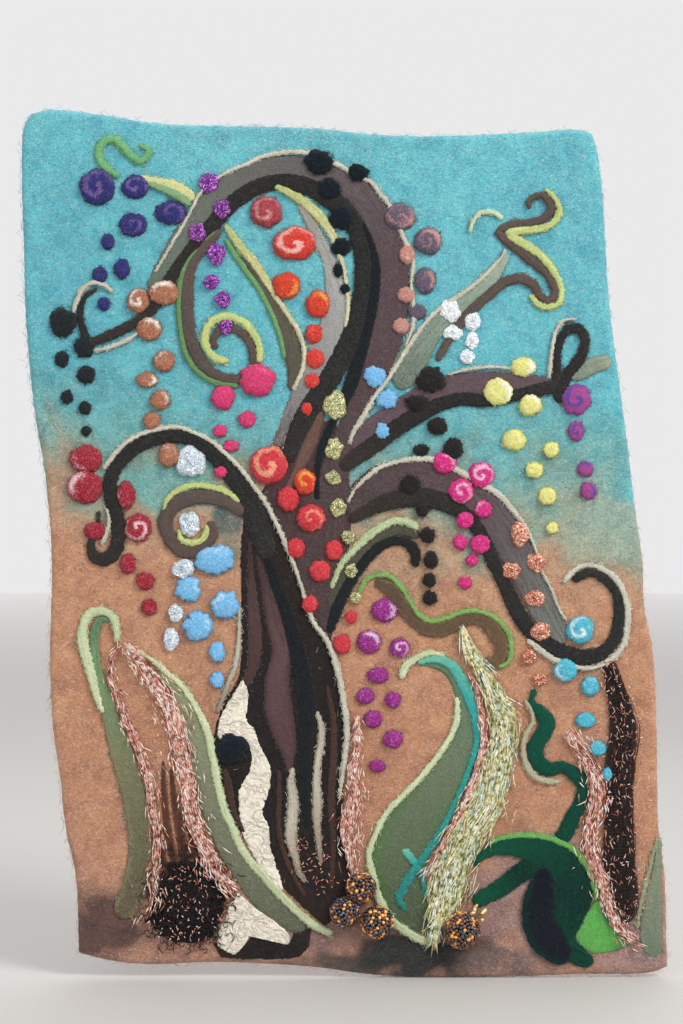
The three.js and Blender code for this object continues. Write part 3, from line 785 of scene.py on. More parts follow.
def add_dot(piece, x, z, width, length, lift, crown, swirl, crescent, lobes, phase):
    """A felted dot: a low, slightly lumpy dome with a ragged rim. swirl and crescent say how much
    of a second colour winds round its middle or lies along one side."""
    seed = 31.0 * (len(piece.points) % 23) + x
    waves = RNG.choice((5, 6, 7, 8))
    centre = piece.point(x, lift + crown, z, (seed, 0, seed), swirl)
    rings = []
    for r in range(1, RINGS + 1):
        out = r / RINGS
        ring = []
        for s in range(TURN):
            theta = 2 * math.pi * s / TURN
            east, north = math.cos(theta), math.sin(theta)
            swell = perlin(east * 1.2 + seed, north * 1.2, seed)
            swell += 0.9 * perlin(east * 3 + seed, north * 3, seed)
            swell += 0.35 * math.sin(waves * theta + seed) * (0.6 + perlin(east * 2, north * 2, seed))
            swell += 0.6 * perlin(east * 7, north * 7 + seed, seed)
            wobble = 1 + lobes * 2 * swell * out
            fray = RNG.uniform(-0.38, 0.38) if r >= RINGS - 1 else 0
            px = x + east * (out * wobble * width / 2 + fray)
            pz = z + north * (out * wobble * length / 2 + fray)
            dome = (1 - out ** 3) ** 0.6
            rough = perlin(px * 0.5, pz * 0.5, seed) + 0.7 * perlin(px * 1.3, pz * 1.3, seed)
            height = lift + crown * dome + 0.2 * rough * (0.4 + dome)
            height = lift * 0.5 if r == RINGS else height
            drift = 1.1 * perlin(px * 0.3, pz * 0.3, seed + 3)
            wind = max(0.0, math.sin(theta + out * 2 * math.pi * 1.15 + phase + drift))
            side = max(0.0, math.cos(theta - phase)) * max(0.0, 1 - abs(out - 0.72) / 0.34)
            share = swirl * wind ** 0.7 * (1 - 0.6 * out ** 3) + crescent * side
            lay = (east * 9 + seed, out * width / 2, north * 9)
            ring.append(piece.point(px, height, pz, lay, share, out))
        rings.append(ring)
    rings.append(add_skirt(piece, x, z, width, length, TURN, 0.44, (seed, width / 2, seed), 0, 1))
    close_dome(piece, centre, rings)


def add_flake_dot(piece, x, z, width, length, lift, crown):
    """A glitter dot: a lumpy dome of small flat flakes."""
    centre = piece.point(x, lift + crown, z)
    rings = []
    for r in range(1, FLAKE_RINGS + 1):
        out = r / FLAKE_RINGS
        ring = []
        for s in range(FLAKE_TURN):
            theta = 2 * math.pi * (s + 0.5 * (r % 2)) / FLAKE_TURN
            ragged = 0.98 + 0.26 * perlin(math.cos(theta) * 1.6 + x, math.sin(theta) * 1.6, z)
            reach = out * ragged / 2
            jitter = RNG.uniform(-0.3, 0.3)
            px = x + math.cos(theta) * (reach * width + jitter)
            pz = z + math.sin(theta) * (reach * length + jitter)
            dome = math.sqrt(max(0.0, 1 - out ** 2.5))
            height = lift * 0.7 + crown * dome + RNG.uniform(-0.32, 0.32)
            ring.append(piece.point(px, height, pz))
        rings.append(ring)
    rings.append(add_skirt(piece, x, z, width, length, FLAKE_TURN, 0.4))
    close_dome(piece, centre, rings, split=True)


DOT_LIFT = 0.7
DOT_CROWN = 0.16


def dots(name, slot, base, second, spots, swirls=(), crescents=(), replaces=(), rise=0.0, lobes=0.04):
    """A chain of felted dots, each (x, z, width, length), of one colour with a second worked in.
    swirls and crescents say, for a dot's place in the chain, how much of the second it shows."""
    swirls, crescents = dict(swirls), dict(crescents)
    piece, fuzz = Piece(), Piece()
    for index, (x, z, width, length) in enumerate(spots):
        swirl = swirls.get(index, 0.0)
        crescent, turn = crescents.get(index, (0.0, 0.0))
        crown = DOT_CROWN * math.sqrt(width * length) + 0.6
        phase = math.radians(turn) if crescent else index * 1.3
        add_dot(piece, x, z, width, length, DOT_LIFT + rise, crown, swirl, crescent, lobes, phase)
        for _ in range(int(1.1 * (width + length))):
            theta = RNG.uniform(0, 2 * math.pi)
            out = RNG.uniform(0.92, 1.03) / 2
            px = x + math.cos(theta) * out * width
            pz = z + math.sin(theta) * out * length
            angle = theta + RNG.choice((-1, 1)) * RNG.uniform(0.8, 1.6)
            add_stray(fuzz, px, pz, angle, RNG.uniform(0.8, 2.2), DOT_LIFT + rise, 0.11)
    fuzz.finish(name + "_fuzz", plain_fibre(name + "_fibre", base), slot)
    stops = [(0.0, base), (0.18, base), (0.82, second), (1.0, second)]
    piece.finish(name, wool(name + "_wool", stops, speck=0.4, blend=0.28), slot, replaces)


def glitter_dots(name, material, slot, spots, rise=0.0):
    piece = Piece()
    for x, z, width, length in spots:
        crown = DOT_CROWN * math.sqrt(width * length) + 0.4
        add_flake_dot(piece, x, z, width, length, DOT_LIFT + rise, crown)
    piece.finish(name, material, slot, smooth_shade=False)


# --- Bundles, mesh and beads ----------------------------------------------------------------------

def bundle(name, materials, slot, route, count, replaces=(), stray=1.2, lift=1.0, rise=1.6, radius=0.17):
    """Metallic fibres laid side by side along a route, shared out over several materials."""
    points = smooth(route, 2.6)
    heading = tangents(points)
    along = lengths_along(points)
    for group, material in enumerate(materials):
        piece = Piece()
        for _ in range(count // len(materials)):
            across = RNG.uniform(-0.88, 0.88)
            start = RNG.randrange(0, max(1, len(points) // 3))
            stop = RNG.randrange(2 * len(points) // 3, len(points)) + 1
            phase = RNG.uniform(0, 40)
            level = RNG.random()
            path = []
            for i in range(start, stop):
                half = points[i][2] / 2
                spread = across + 0.5 * perlin(along[i] * 0.045 + phase, phase, 0)
                offset = spread * half + perlin(along[i] * 0.2 + phase, 5, 0) * stray * 0.5
                dome = math.sqrt(max(0.0, 1 - min(1, abs(spread)) ** 2))
                height = lift + rise * dome * (0.35 + 0.65 * level)
                height += 0.35 * perlin(along[i] * 0.3, phase, 8)
                x = points[i][0] - heading[i][1] * offset
                path.append((x, height, points[i][1] + heading[i][0] * offset))
            if len(path) > 2:
                add_fibre(piece, path, radius * RNG.uniform(0.7, 1.25))
        tail = "" if group == 0 else f"_{group + 1}"
        piece.finish(name + tail, material, slot, replaces if group == 0 else ())


def dashes(
    name, material, slot, route, count,
    spread=1.0, reach=(2, 6), level=(2.0, 3.6), turn=0.3, radius=(0.17, 0.3),
):
    """Short bright lengths of foil, scattered along a route and roughly in line with it."""
    points = smooth(route, 1.0)
    heading = tangents(points)
    piece = Piece()
    for _ in range(count):
        i = RNG.randrange(len(points))
        offset = RNG.gauss(0, 0.42) * points[i][2] * spread
        x = points[i][0] - heading[i][1] * offset
        z = points[i][1] + heading[i][0] * offset
        angle = math.atan2(heading[i][1], heading[i][0]) + RNG.gauss(0, turn)
        size = RNG.uniform(*reach)
        height = RNG.uniform(*level)
        heights = [height + 0.25 * math.sin(k * 1.5) for k in range(4)]
        turns = [RNG.uniform(-0.15, 0.15) for _ in heights]
        add_fibre(piece, walk(x, z, angle, size / 3, heights, turns), RNG.uniform(*radius))
    piece.finish(name, material, slot)


BALL_COVER = 1.0
BALL_LEVEL = 0.62
BEAD_SPACE = 3.1
BEAD_RADII = (0.85, 1.2)
GOLDEN_ANGLE = math.pi * (3 - math.sqrt(5))


def make_ball(name, x, z, size, material, glass, mix):
    """A felt ball covered in seed beads. glass gives the pieces that take the beads, one for each
    kind of glass, and mix says how common each kind is."""
    core = Piece()
    radius = size / 2 - BALL_COVER
    centre_height = radius * BALL_LEVEL
    add_dome(core, x, centre_height, z, radius)
    count = int(4 * math.pi * radius ** 2 / BEAD_SPACE)
    for k in range(count):
        up = 1 - 2 * (k + 0.5) / count
        around = math.sqrt(1 - up * up)
        angle = k * GOLDEN_ANGLE
        direction = Vector((math.cos(angle) * around, up, math.sin(angle) * around))
        if centre_height + direction.y * radius < 0.6:
            continue
        tilt = Vector((RNG.uniform(-1, 1), RNG.uniform(-0.6, 0.6), RNG.uniform(-1, 1)))
        hole = direction.cross(tilt).normalized()
        middle = Vector((x, centre_height, z)) + direction * (radius + RNG.uniform(0.2, 0.6))
        kind = RNG.choices(range(len(glass)), mix)[0]
        add_bead(glass[kind], middle, hole, RNG.uniform(*BEAD_RADII))
    core.finish(name + "_core", material, "glass_beads", [name])


DOME_RINGS = 8
DOME_TURN = 20
DOME_POLE = 0.02


def add_dome(piece, x, level, z, radius):
    """A ball, the core under the beads."""
    rings = []
    for r in range(DOME_RINGS + 1):
        pitch = math.pi * (r / DOME_RINGS) * (1 - DOME_POLE) + DOME_POLE
        ring = []
        for s in range(DOME_TURN):
            theta = 2 * math.pi * s / DOME_TURN
            ring.append(piece.point(
                x + math.cos(theta) * math.sin(pitch) * radius,
                level + math.cos(pitch) * radius,
                z + math.sin(theta) * math.sin(pitch) * radius,
                (theta * 3, pitch * 5, 0),
            ))
        rings.append(ring)
    loft(piece, rings, capped=False)
    piece.faces.append(tuple(rings[0]))
    piece.faces.append(tuple(reversed(rings[-1])))


BEAD_TURN = 9
BEAD_PROFILE = [(0.42, 0.8), (0.8, 1.0), (1.0, 0.5), (1.0, -0.5), (0.8, -1.0), (0.42, -0.8)]


def add_bead(piece, middle, hole, radius, length=0.75):
    """A short rounded bead with a hole through it along the given direction."""
    side = hole.orthogonal().normalized()
    other = hole.cross(side)
    rings = []
    for out, along in BEAD_PROFILE:
        ring = []
        for s in range(BEAD_TURN):
            theta = 2 * math.pi * s / BEAD_TURN
            spoke = (side * math.cos(theta) + other * math.sin(theta)) * out * radius
            ring.append(piece.point(*(middle + spoke + hole * along * length * radius)))
        rings.append(ring)
    loft(piece, rings + rings[:1], capped=False)


# --- Wool, wisps and layers -------------------------------------------------------------------------

# The colour and the slot of each group of stray fibres.
WISP_COLOURS = {
    "cream": ((226, 216, 190), "wool_cream"),
    "dark": ((44, 36, 38), "wool_dark_brown"),
    "mauve": ((104, 80, 88), "wool_mauve"),
    "brown": ((116, 74, 62), "wool_rust"),
    "green": ((104, 150, 110), "wool_green"),
    "yellow": ((220, 214, 130), "wool_yellow"),
    "lime": ((150, 196, 92), "wool_lime"),
    "pale": ((200, 222, 164), "wool_pale_green"),
    "deep": ((8, 84, 60), "wool_dark_green"),
}
WISPS = {name: Wisps() for name in WISP_COLOURS}


def flat_wool(name, rgb, **settings):
    return wool(name, [(0.0, rgb), (1.0, shade(rgb, 0.93, 5))], **settings)


# Layers: how far a kind of laid wool starts above the sheet, and how high its crown is.
PATCH = (0.15, 0.6)
BAND = (0.5, 0.75)
STRAND = (0.9, 0.95)
EDGE = (1.35, 0.75)


# Outlines of the patches: the (x, z) points of two edge lines.
CROTCH_LEFT = [
    (-31, 60), (-33, 48), (-38, 33), (-42, 26), (-35, 11), (-28, -3), (-21, -24), (-15, -37), (-9, -46),
]
CROTCH_RIGHT = [(-4, 62), (0, 50), (2, 34), (3, 18), (3, 4), (0, -12), (-2, -25), (-5, -38), (-7, -48)]
TRUNK_LEFT = [
    (-50, 20), (-52, 0), (-52, -27), (-52, -47), (-53, -65), (-61, -80), (-66, -100), (-62, -117),
    (-57, -135), (-47, -152), (-35, -167), (-22, -180), (-11, -190),
]
TRUNK_RIGHT = [
    (-43, 24), (-33, 7), (-23, -15), (-16, -33), (-7, -52), (-2, -75), (0, -100), (-1, -127), (0, -152),
    (3, -167), (0, -180), (-9, -190),
]
GROUND_LEFT = [
    (-66, -199), (-50, -199), (-45, -194), (-39, -191), (-33, -194), (-28, -199), (-25, -193),
    (-17, -192),
]
GROUND_RIGHT = [(-62, -206), (-52, -207), (-44, -207), (-34, -207), (-24, -206), (-18, -201)]
LEAF_LEFT = [
    (37, -60), (48, -63), (54, -72), (56, -84), (54, -95), (45, -108), (30, -125), (18, -139),
    (13, -152), (14, -165), (18, -178), (25, -189), (35, -196), (44, -197),
]
LEAF_RIGHT = [
    (38, -58), (54, -60), (60, -68), (65, -77), (68, -90), (67, -100), (64, -112), (59, -124),
    (53, -136), (46, -149), (41, -160), (41, -172), (44, -188), (46, -196),
]
FLUFF_LEFT = [(-93, -160), (-91, -171), (-96, -178), (-97, -189), (-90, -196), (-80, -199)]
FLUFF_RIGHT = [
    (-83, -158), (-72, -156), (-64, -166), (-59, -174), (-63, -186), (-66, -195), (-76, -199),
]
BRIGHT_LEFT = [(125, -178), (122, -182), (116, -187), (112, -194), (115, -200), (124, -204)]
BRIGHT_RIGHT = [(127, -178), (131, -187), (138, -194), (143, -199), (134, -203), (126, -204)]
BIRCH_LEFT = [
    (-52, -68), (-63, -88), (-63, -97), (-56, -94), (-50, -97), (-47, -105), (-48, -113), (-53, -122),
    (-53, -132), (-51, -145), (-46, -155), (-38, -168), (-32, -173),
]
BIRCH_RIGHT = [
    (-50, -67), (-48, -76), (-49, -87), (-45, -92), (-42, -101), (-37, -112), (-38, -124), (-41, -134),
    (-38, -140), (-37, -151), (-34, -161), (-31, -172),
]
ROOT_LEFT = [(-54, -174), (-58, -180), (-60, -187), (-64, -194), (-63, -201), (-56, -205)]
ROOT_RIGHT = [
    (-53, -174), (-44, -182), (-32, -190), (-27, -198), (-29, -200), (-34, -195), (-40, -191),
    (-46, -193), (-50, -200), (-55, -205),
]


def make_patches():
    """Wide areas of wool: trunk, ground, leaf, fluff, bright root, crotch, birch and cream root."""
    bark = wool("wool_bark", [
        (0.0, (46, 36, 33)), (0.35, (36, 32, 31)), (0.7, (30, 29, 29)), (1.0, (48, 38, 34)),
    ], streak=0.34, speck=0.5)
    area("trunk_wool", bark, "wool_dark_brown", PATCH, TRUNK_LEFT, TRUNK_RIGHT, 200, 60, ["trunk"])
    area("root_ground_wool", bark, "wool_dark_brown", PATCH, GROUND_LEFT, GROUND_RIGHT, 40, 28,
        ["root_ground"])
    leaf = wool("wool_leaf", [
        (0.0, (92, 132, 108)), (0.4, (112, 124, 100)), (0.75, (92, 106, 80)), (1.0, (70, 76, 60)),
    ], edge=(74, 120, 66))
    area("right_leaf_wool", leaf, "wool_green", PATCH, LEAF_LEFT, LEAF_RIGHT, 150, 30, ["right_leaf"])
    fluff = flat_wool("wool_fluff", (26, 22, 24))
    area("black_fluff_wool", fluff, "wool_black", PATCH, FLUFF_LEFT, FLUFF_RIGHT, 50, 40,
        ["black_fluff"], 0.5, 2.2)
    bright = flat_wool("wool_bright", (96, 176, 84), edge=(90, 120, 84))
    area("bright_root_wool", bright, "wool_bright_green", PATCH, BRIGHT_LEFT, BRIGHT_RIGHT, 34, 26,
        ["bright_green_root"])
    crotch = wool("wool_crotch", [(0.0, (70, 52, 54)), (0.5, (80, 60, 62)), (1.0, (74, 54, 54))])
    area("crotch_wool", crotch, "wool_mauve", PATCH, CROTCH_LEFT, CROTCH_RIGHT, 70, 40, frill=0.8)
    cream = birch_wool()
    area("birch_wool", cream, "wool_cream", BAND, BIRCH_LEFT, BIRCH_RIGHT, 130, 26, ["birch_patch"],
        0.55)
    area("cream_root_wool", cream, "wool_cream", BAND, ROOT_LEFT, ROOT_RIGHT, 50, 26, ["cream_root"],
        0.55)


def birch_wool():
    """Cream wool, wrinkled and curled, with painted shade: brownish darkening along the creases that the
    bump presses in.
    """
    net = Net("wool_birch", Roughness=0.95, Sheen_Weight=0.15, Specular_IOR_Level=0.1)
    place = net.position()
    curls = net.noise(place, 0.11, detail=2, distortion=1.6)
    crease = net.maths("ABSOLUTE", net.maths("SUBTRACT", curls, 0.5), 0.0)
    grain = net.noise(place, 1.8, detail=3, distortion=1.0)
    base = net.ramp(grain, [(0.3, (206, 194, 172)), (0.5, (236, 229, 212)), (0.7, (248, 244, 234))])
    # painted shade in the creases
    base = net.mix(net.spread(crease, 0.0, 0.04, 0.4, 0.0), base, (176, 154, 126))
    net.link(base, "Base Color")
    net.link(net.bump(grain, 0.4, under=net.bump(net.spread(crease, 0.0, 0.12), 0.7)), "Normal")
    return net.material


# --- The tree's limbs: routes of (x, z, width) ----------------------------------------------------

def make_bands():
    """The broad strands that lie lowest."""
    mauve = wool("wool_arch_mauve", [
        (0.0, (104, 124, 108)), (0.14, (108, 116, 108)), (0.3, (102, 96, 96)), (0.45, (88, 70, 76)),
        (0.8, (80, 61, 64)), (1.0, (72, 54, 56)),
    ])
    strand("arch_mauve_wool", mauve, "wool_mauve", BAND, [
        (-98, 128, 4), (-88, 144, 8), (-78, 159, 10), (-62, 177, 12), (-44, 187, 12), (-22, 188, 12),
        (-5, 184, 13), (7, 176, 14), (17, 163, 16), (22, 147, 17), (23, 130, 18), (20, 108, 20),
        (14, 85, 15), (4, 63, 11), (-2, 48, 12), (-8, 28, 18), (-13, 8, 25), (-14, -12, 23),
        (-12, -28, 14), (-9, -43, 5),
    ], replaces=["arch_mauve_band"], wisps="mauve")
    grey = wool("wool_grey_band", [
        (0.0, (156, 154, 146)), (0.4, (168, 170, 168)), (0.8, (132, 130, 130)), (1.0, (96, 90, 90)),
    ])
    strand("grey_band_wool", grey, "wool_grey", BAND, [
        (-23, 171, 3), (-18, 162, 5), (-13, 152, 6), (-8, 142, 7), (-5, 130, 10), (-4, 119, 12),
        (-6, 108, 14), (-9, 99, 16), (-14, 89, 14), (-20, 80, 10), (-26, 70, 6), (-31, 58, 5),
        (-34, 49, 6),
    ], replaces=["grey_band"], wisps="cream")
    sweep = wool("wool_sweep", [
        (0.0, (76, 60, 62)), (0.35, (88, 71, 74)), (0.7, (100, 94, 95)), (1.0, (116, 124, 116)),
    ])
    strand("sweep_mauve_wool", sweep, "wool_mauve", BAND, [
        (1, 16, 11), (9, 25, 15), (18, 32, 16), (28, 35, 15), (40, 34, 16), (52, 30, 16), (64, 24, 16),
        (74, 15, 17), (82, 3, 17), (89, -10, 16), (97, -27, 15), (104, -41, 13), (109, -50, 7),
    ], replaces=["sweep_mauve_band"], wisps="mauve")
    strand("mid_branch_mauve_wool", flat_wool("wool_mid_mauve", (98, 80, 86)), "wool_mauve", BAND, [
        (3, 48, 9), (13, 57, 11), (22, 64, 11), (31, 70, 11), (41, 75, 12), (52, 79, 11), (70, 81, 11),
        (86, 81, 10), (103, 80, 7),
    ], replaces=["mid_branch_mauve"], wisps="mauve")
    olive_grey = wool("wool_diagonal",
        [(0.0, (104, 116, 104)), (0.5, (130, 148, 133)), (1.0, (158, 174, 157))])
    strand("diagonal_wool", olive_grey, "wool_grey_green", BAND, [
        (27, 78, 12), (32, 90, 16), (39, 101, 13), (46, 110, 10), (54, 118, 9), (63, 125, 8),
        (71, 132, 8), (77, 139, 6), (81, 145, 3),
    ], replaces=["diagonal_band"], wisps="green")
    green = wool("wool_left_leaf", [
        (0.0, (86, 134, 96)), (0.25, (120, 152, 110)), (0.5, (126, 124, 94)), (0.75, (106, 102, 78)),
        (1.0, (98, 82, 66)),
    ], edge=(140, 126, 98))
    strand("left_leaf_green_wool", green, "wool_green", BAND, [
        (-117, -38, 2), (-122, -37, 3), (-125, -43, 5), (-125, -56, 5), (-122, -70, 6), (-116, -88, 10),
        (-112, -102, 12), (-108, -116, 12), (-104, -134, 12), (-102, -154, 13), (-106, -174, 13),
        (-113, -186, 11),
    ], replaces=["left_leaf_green"], wisps="green")
    olive = wool("wool_left_olive",
        [(0.0, (152, 164, 122)), (0.4, (128, 132, 108)), (1.0, (90, 92, 79))])
    strand("left_leaf_olive_wool", olive, "wool_grey_green", BAND, [
        (-93, -63, 3), (-84, -73, 6), (-78, -87, 10), (-73, -105, 12), (-69, -120, 12), (-64, -135, 13),
        (-57, -152, 13), (-48, -166, 13), (-39, -178, 12), (-29, -187, 10), (-20, -192, 6),
    ], replaces=["left_leaf_olive"], wisps="green")
    rust = flat_wool("wool_rust_band", (110, 80, 73), edge=(74, 58, 54))
    strand("arch_rust_wool", rust, "wool_rust", BAND, [
        (-12, 68, 4), (-14, 60, 6), (-19, 48, 8), (-24, 37, 5), (-28, 29, 4), (-32, 22, 3),
    ], replaces=["arch_rust_strand"])
    umber = flat_wool("wool_umber", (90, 86, 74))
    strand("inner_branch_brown_wool", umber, "wool_rust", BAND, [
        (-52, 147, 3), (-45, 137, 4.5), (-37, 123, 6), (-31, 111, 8), (-27, 99, 9), (-25, 88, 8),
        (-26, 77, 5),
    ], replaces=["inner_branch_brown"], wisps="brown")
    strand("ribbon_yellow_wool", flat_wool("wool_ribbon", (222, 222, 156)), "wool_yellow", BAND, [
        (-103, 184, 2), (-93, 181, 5), (-83, 178, 6), (-75, 173, 4.5),
    ], replaces=["ribbon_yellow"], wisps="yellow")
    strand("hook_black_wool", flat_wool("wool_hook_black", (16, 22, 32), edge=(12, 58, 48)),
        "wool_blue_black", EDGE, [
        (99, -160, 7), (99, -168, 13), (98, -178, 18), (98, -188, 19), (102, -196, 20), (107, -202, 16),
        (114, -206, 8),
    ], replaces=["hook_black"], wisps="dark")
    strand("corner_wedge_wool",
        wool("wool_wedge", [(0.0, (140, 148, 124)), (1.0, (106, 124, 104))], edge=(140, 128, 120)),
        "wool_grey_green", PATCH, [
        (157, -146, 2), (156, -163, 5), (154, -180, 9), (153, -195, 11), (155, -206, 8),
    ], wisps="green")
    strand("right_strip_wool", wool("wool_strip", [(0.0, (120, 132, 118)), (1.0, (150, 160, 140))]),
        "wool_grey_green", BAND, [(112, 84, 6), (119, 87, 8), (125, 90, 8), (133, 92, 7)],
        wisps="green")


def make_trunk_strands():
    """Strands laid lengthwise on the trunk."""
    mauve = wool("wool_trunk_mauve", [(0.0, (66, 48, 48)), (0.5, (98, 74, 76)), (1.0, (84, 62, 64))],
        edge=(52, 38, 38))
    strand("trunk_mauve_wool", mauve, "wool_mauve", BAND, [
        (-44, -5, 1.5), (-39, -24, 6), (-35, -40, 9), (-32, -54, 10), (-34, -68, 13), (-33, -83, 15),
        (-30, -96, 12), (-28, -106, 6), (-28, -114, 2),
    ], replaces=["trunk_mauve_strand"], wisps="mauve")
    dark = flat_wool("wool_trunk_blue_black", (23, 27, 31), edge=(36, 32, 31), speck=0.5)
    strand("trunk_blue_black_wool", dark, "wool_blue_black", BAND, [
        (-42, 4, 3), (-36, -16, 5), (-30, -32, 7), (-25, -50, 9), (-21, -68, 10), (-19, -83, 10),
        (-20, -98, 8), (-20, -120, 6), (-19, -142, 4),
    ], replaces=["trunk_blue_black_strand"], wisps="dark")
    cream = wool("wool_trunk_cream",
        [(0.0, (186, 180, 162)), (0.5, (194, 188, 170)), (1.0, (138, 122, 102))], edge=(110, 92, 80))
    strand("trunk_cream_left_wool", cream, "wool_cream", STRAND, [
        (-26, -111, 2), (-27, -118, 4), (-26, -129, 6), (-27, -147, 6), (-25, -156, 4), (-23, -163, 3),
        (-20, -169, 2),
    ], replaces=["trunk_cream_strand_left"], wisps="cream")
    strand("trunk_cream_right_wool", cream, "wool_cream", STRAND, [
        (-14, -83, 2), (-12, -90, 3), (-12, -98, 4), (-14, -112, 4), (-14, -131, 5), (-14, -140, 4),
        (-12, -160, 2),
    ], replaces=["trunk_cream_strand_right"], wisps="cream")
    stripe = wool("wool_trunk_stripe", [(0.0, (64, 46, 44)), (0.5, (82, 62, 62)), (1.0, (74, 54, 52))])
    strand("trunk_stripe_wool", stripe, "wool_mauve", BAND, [
        (-48, 2, 1.5), (-47, -15, 3.5), (-46, -31, 6), (-45, -46, 7), (-46, -60, 6), (-50, -71, 4),
    ], wisps="mauve")
    strand("trunk_left_cream_wool", cream, "wool_cream", BAND, [
        (-53, -30, 1.5), (-53, -46, 2.5), (-55, -61, 3), (-58, -68, 3), (-64, -84, 2),
    ], wisps="cream")
    strand("trunk_brown_wool", flat_wool("wool_trunk_rust", (70, 50, 44)), "wool_rust", BAND, [
        (-60, -112, 3), (-58, -122, 4), (-56, -132, 3), (-50, -144, 2),
    ], [(-9, -70, 2), (-6, -88, 3), (-6, -108, 4), (-7, -128, 4), (-6, -150, 3), (-7, -172, 3)], [
        (-33, -112, 2), (-33, -126, 3), (-33, -142, 3), (-29, -158, 3), (-20, -176, 2),
    ])


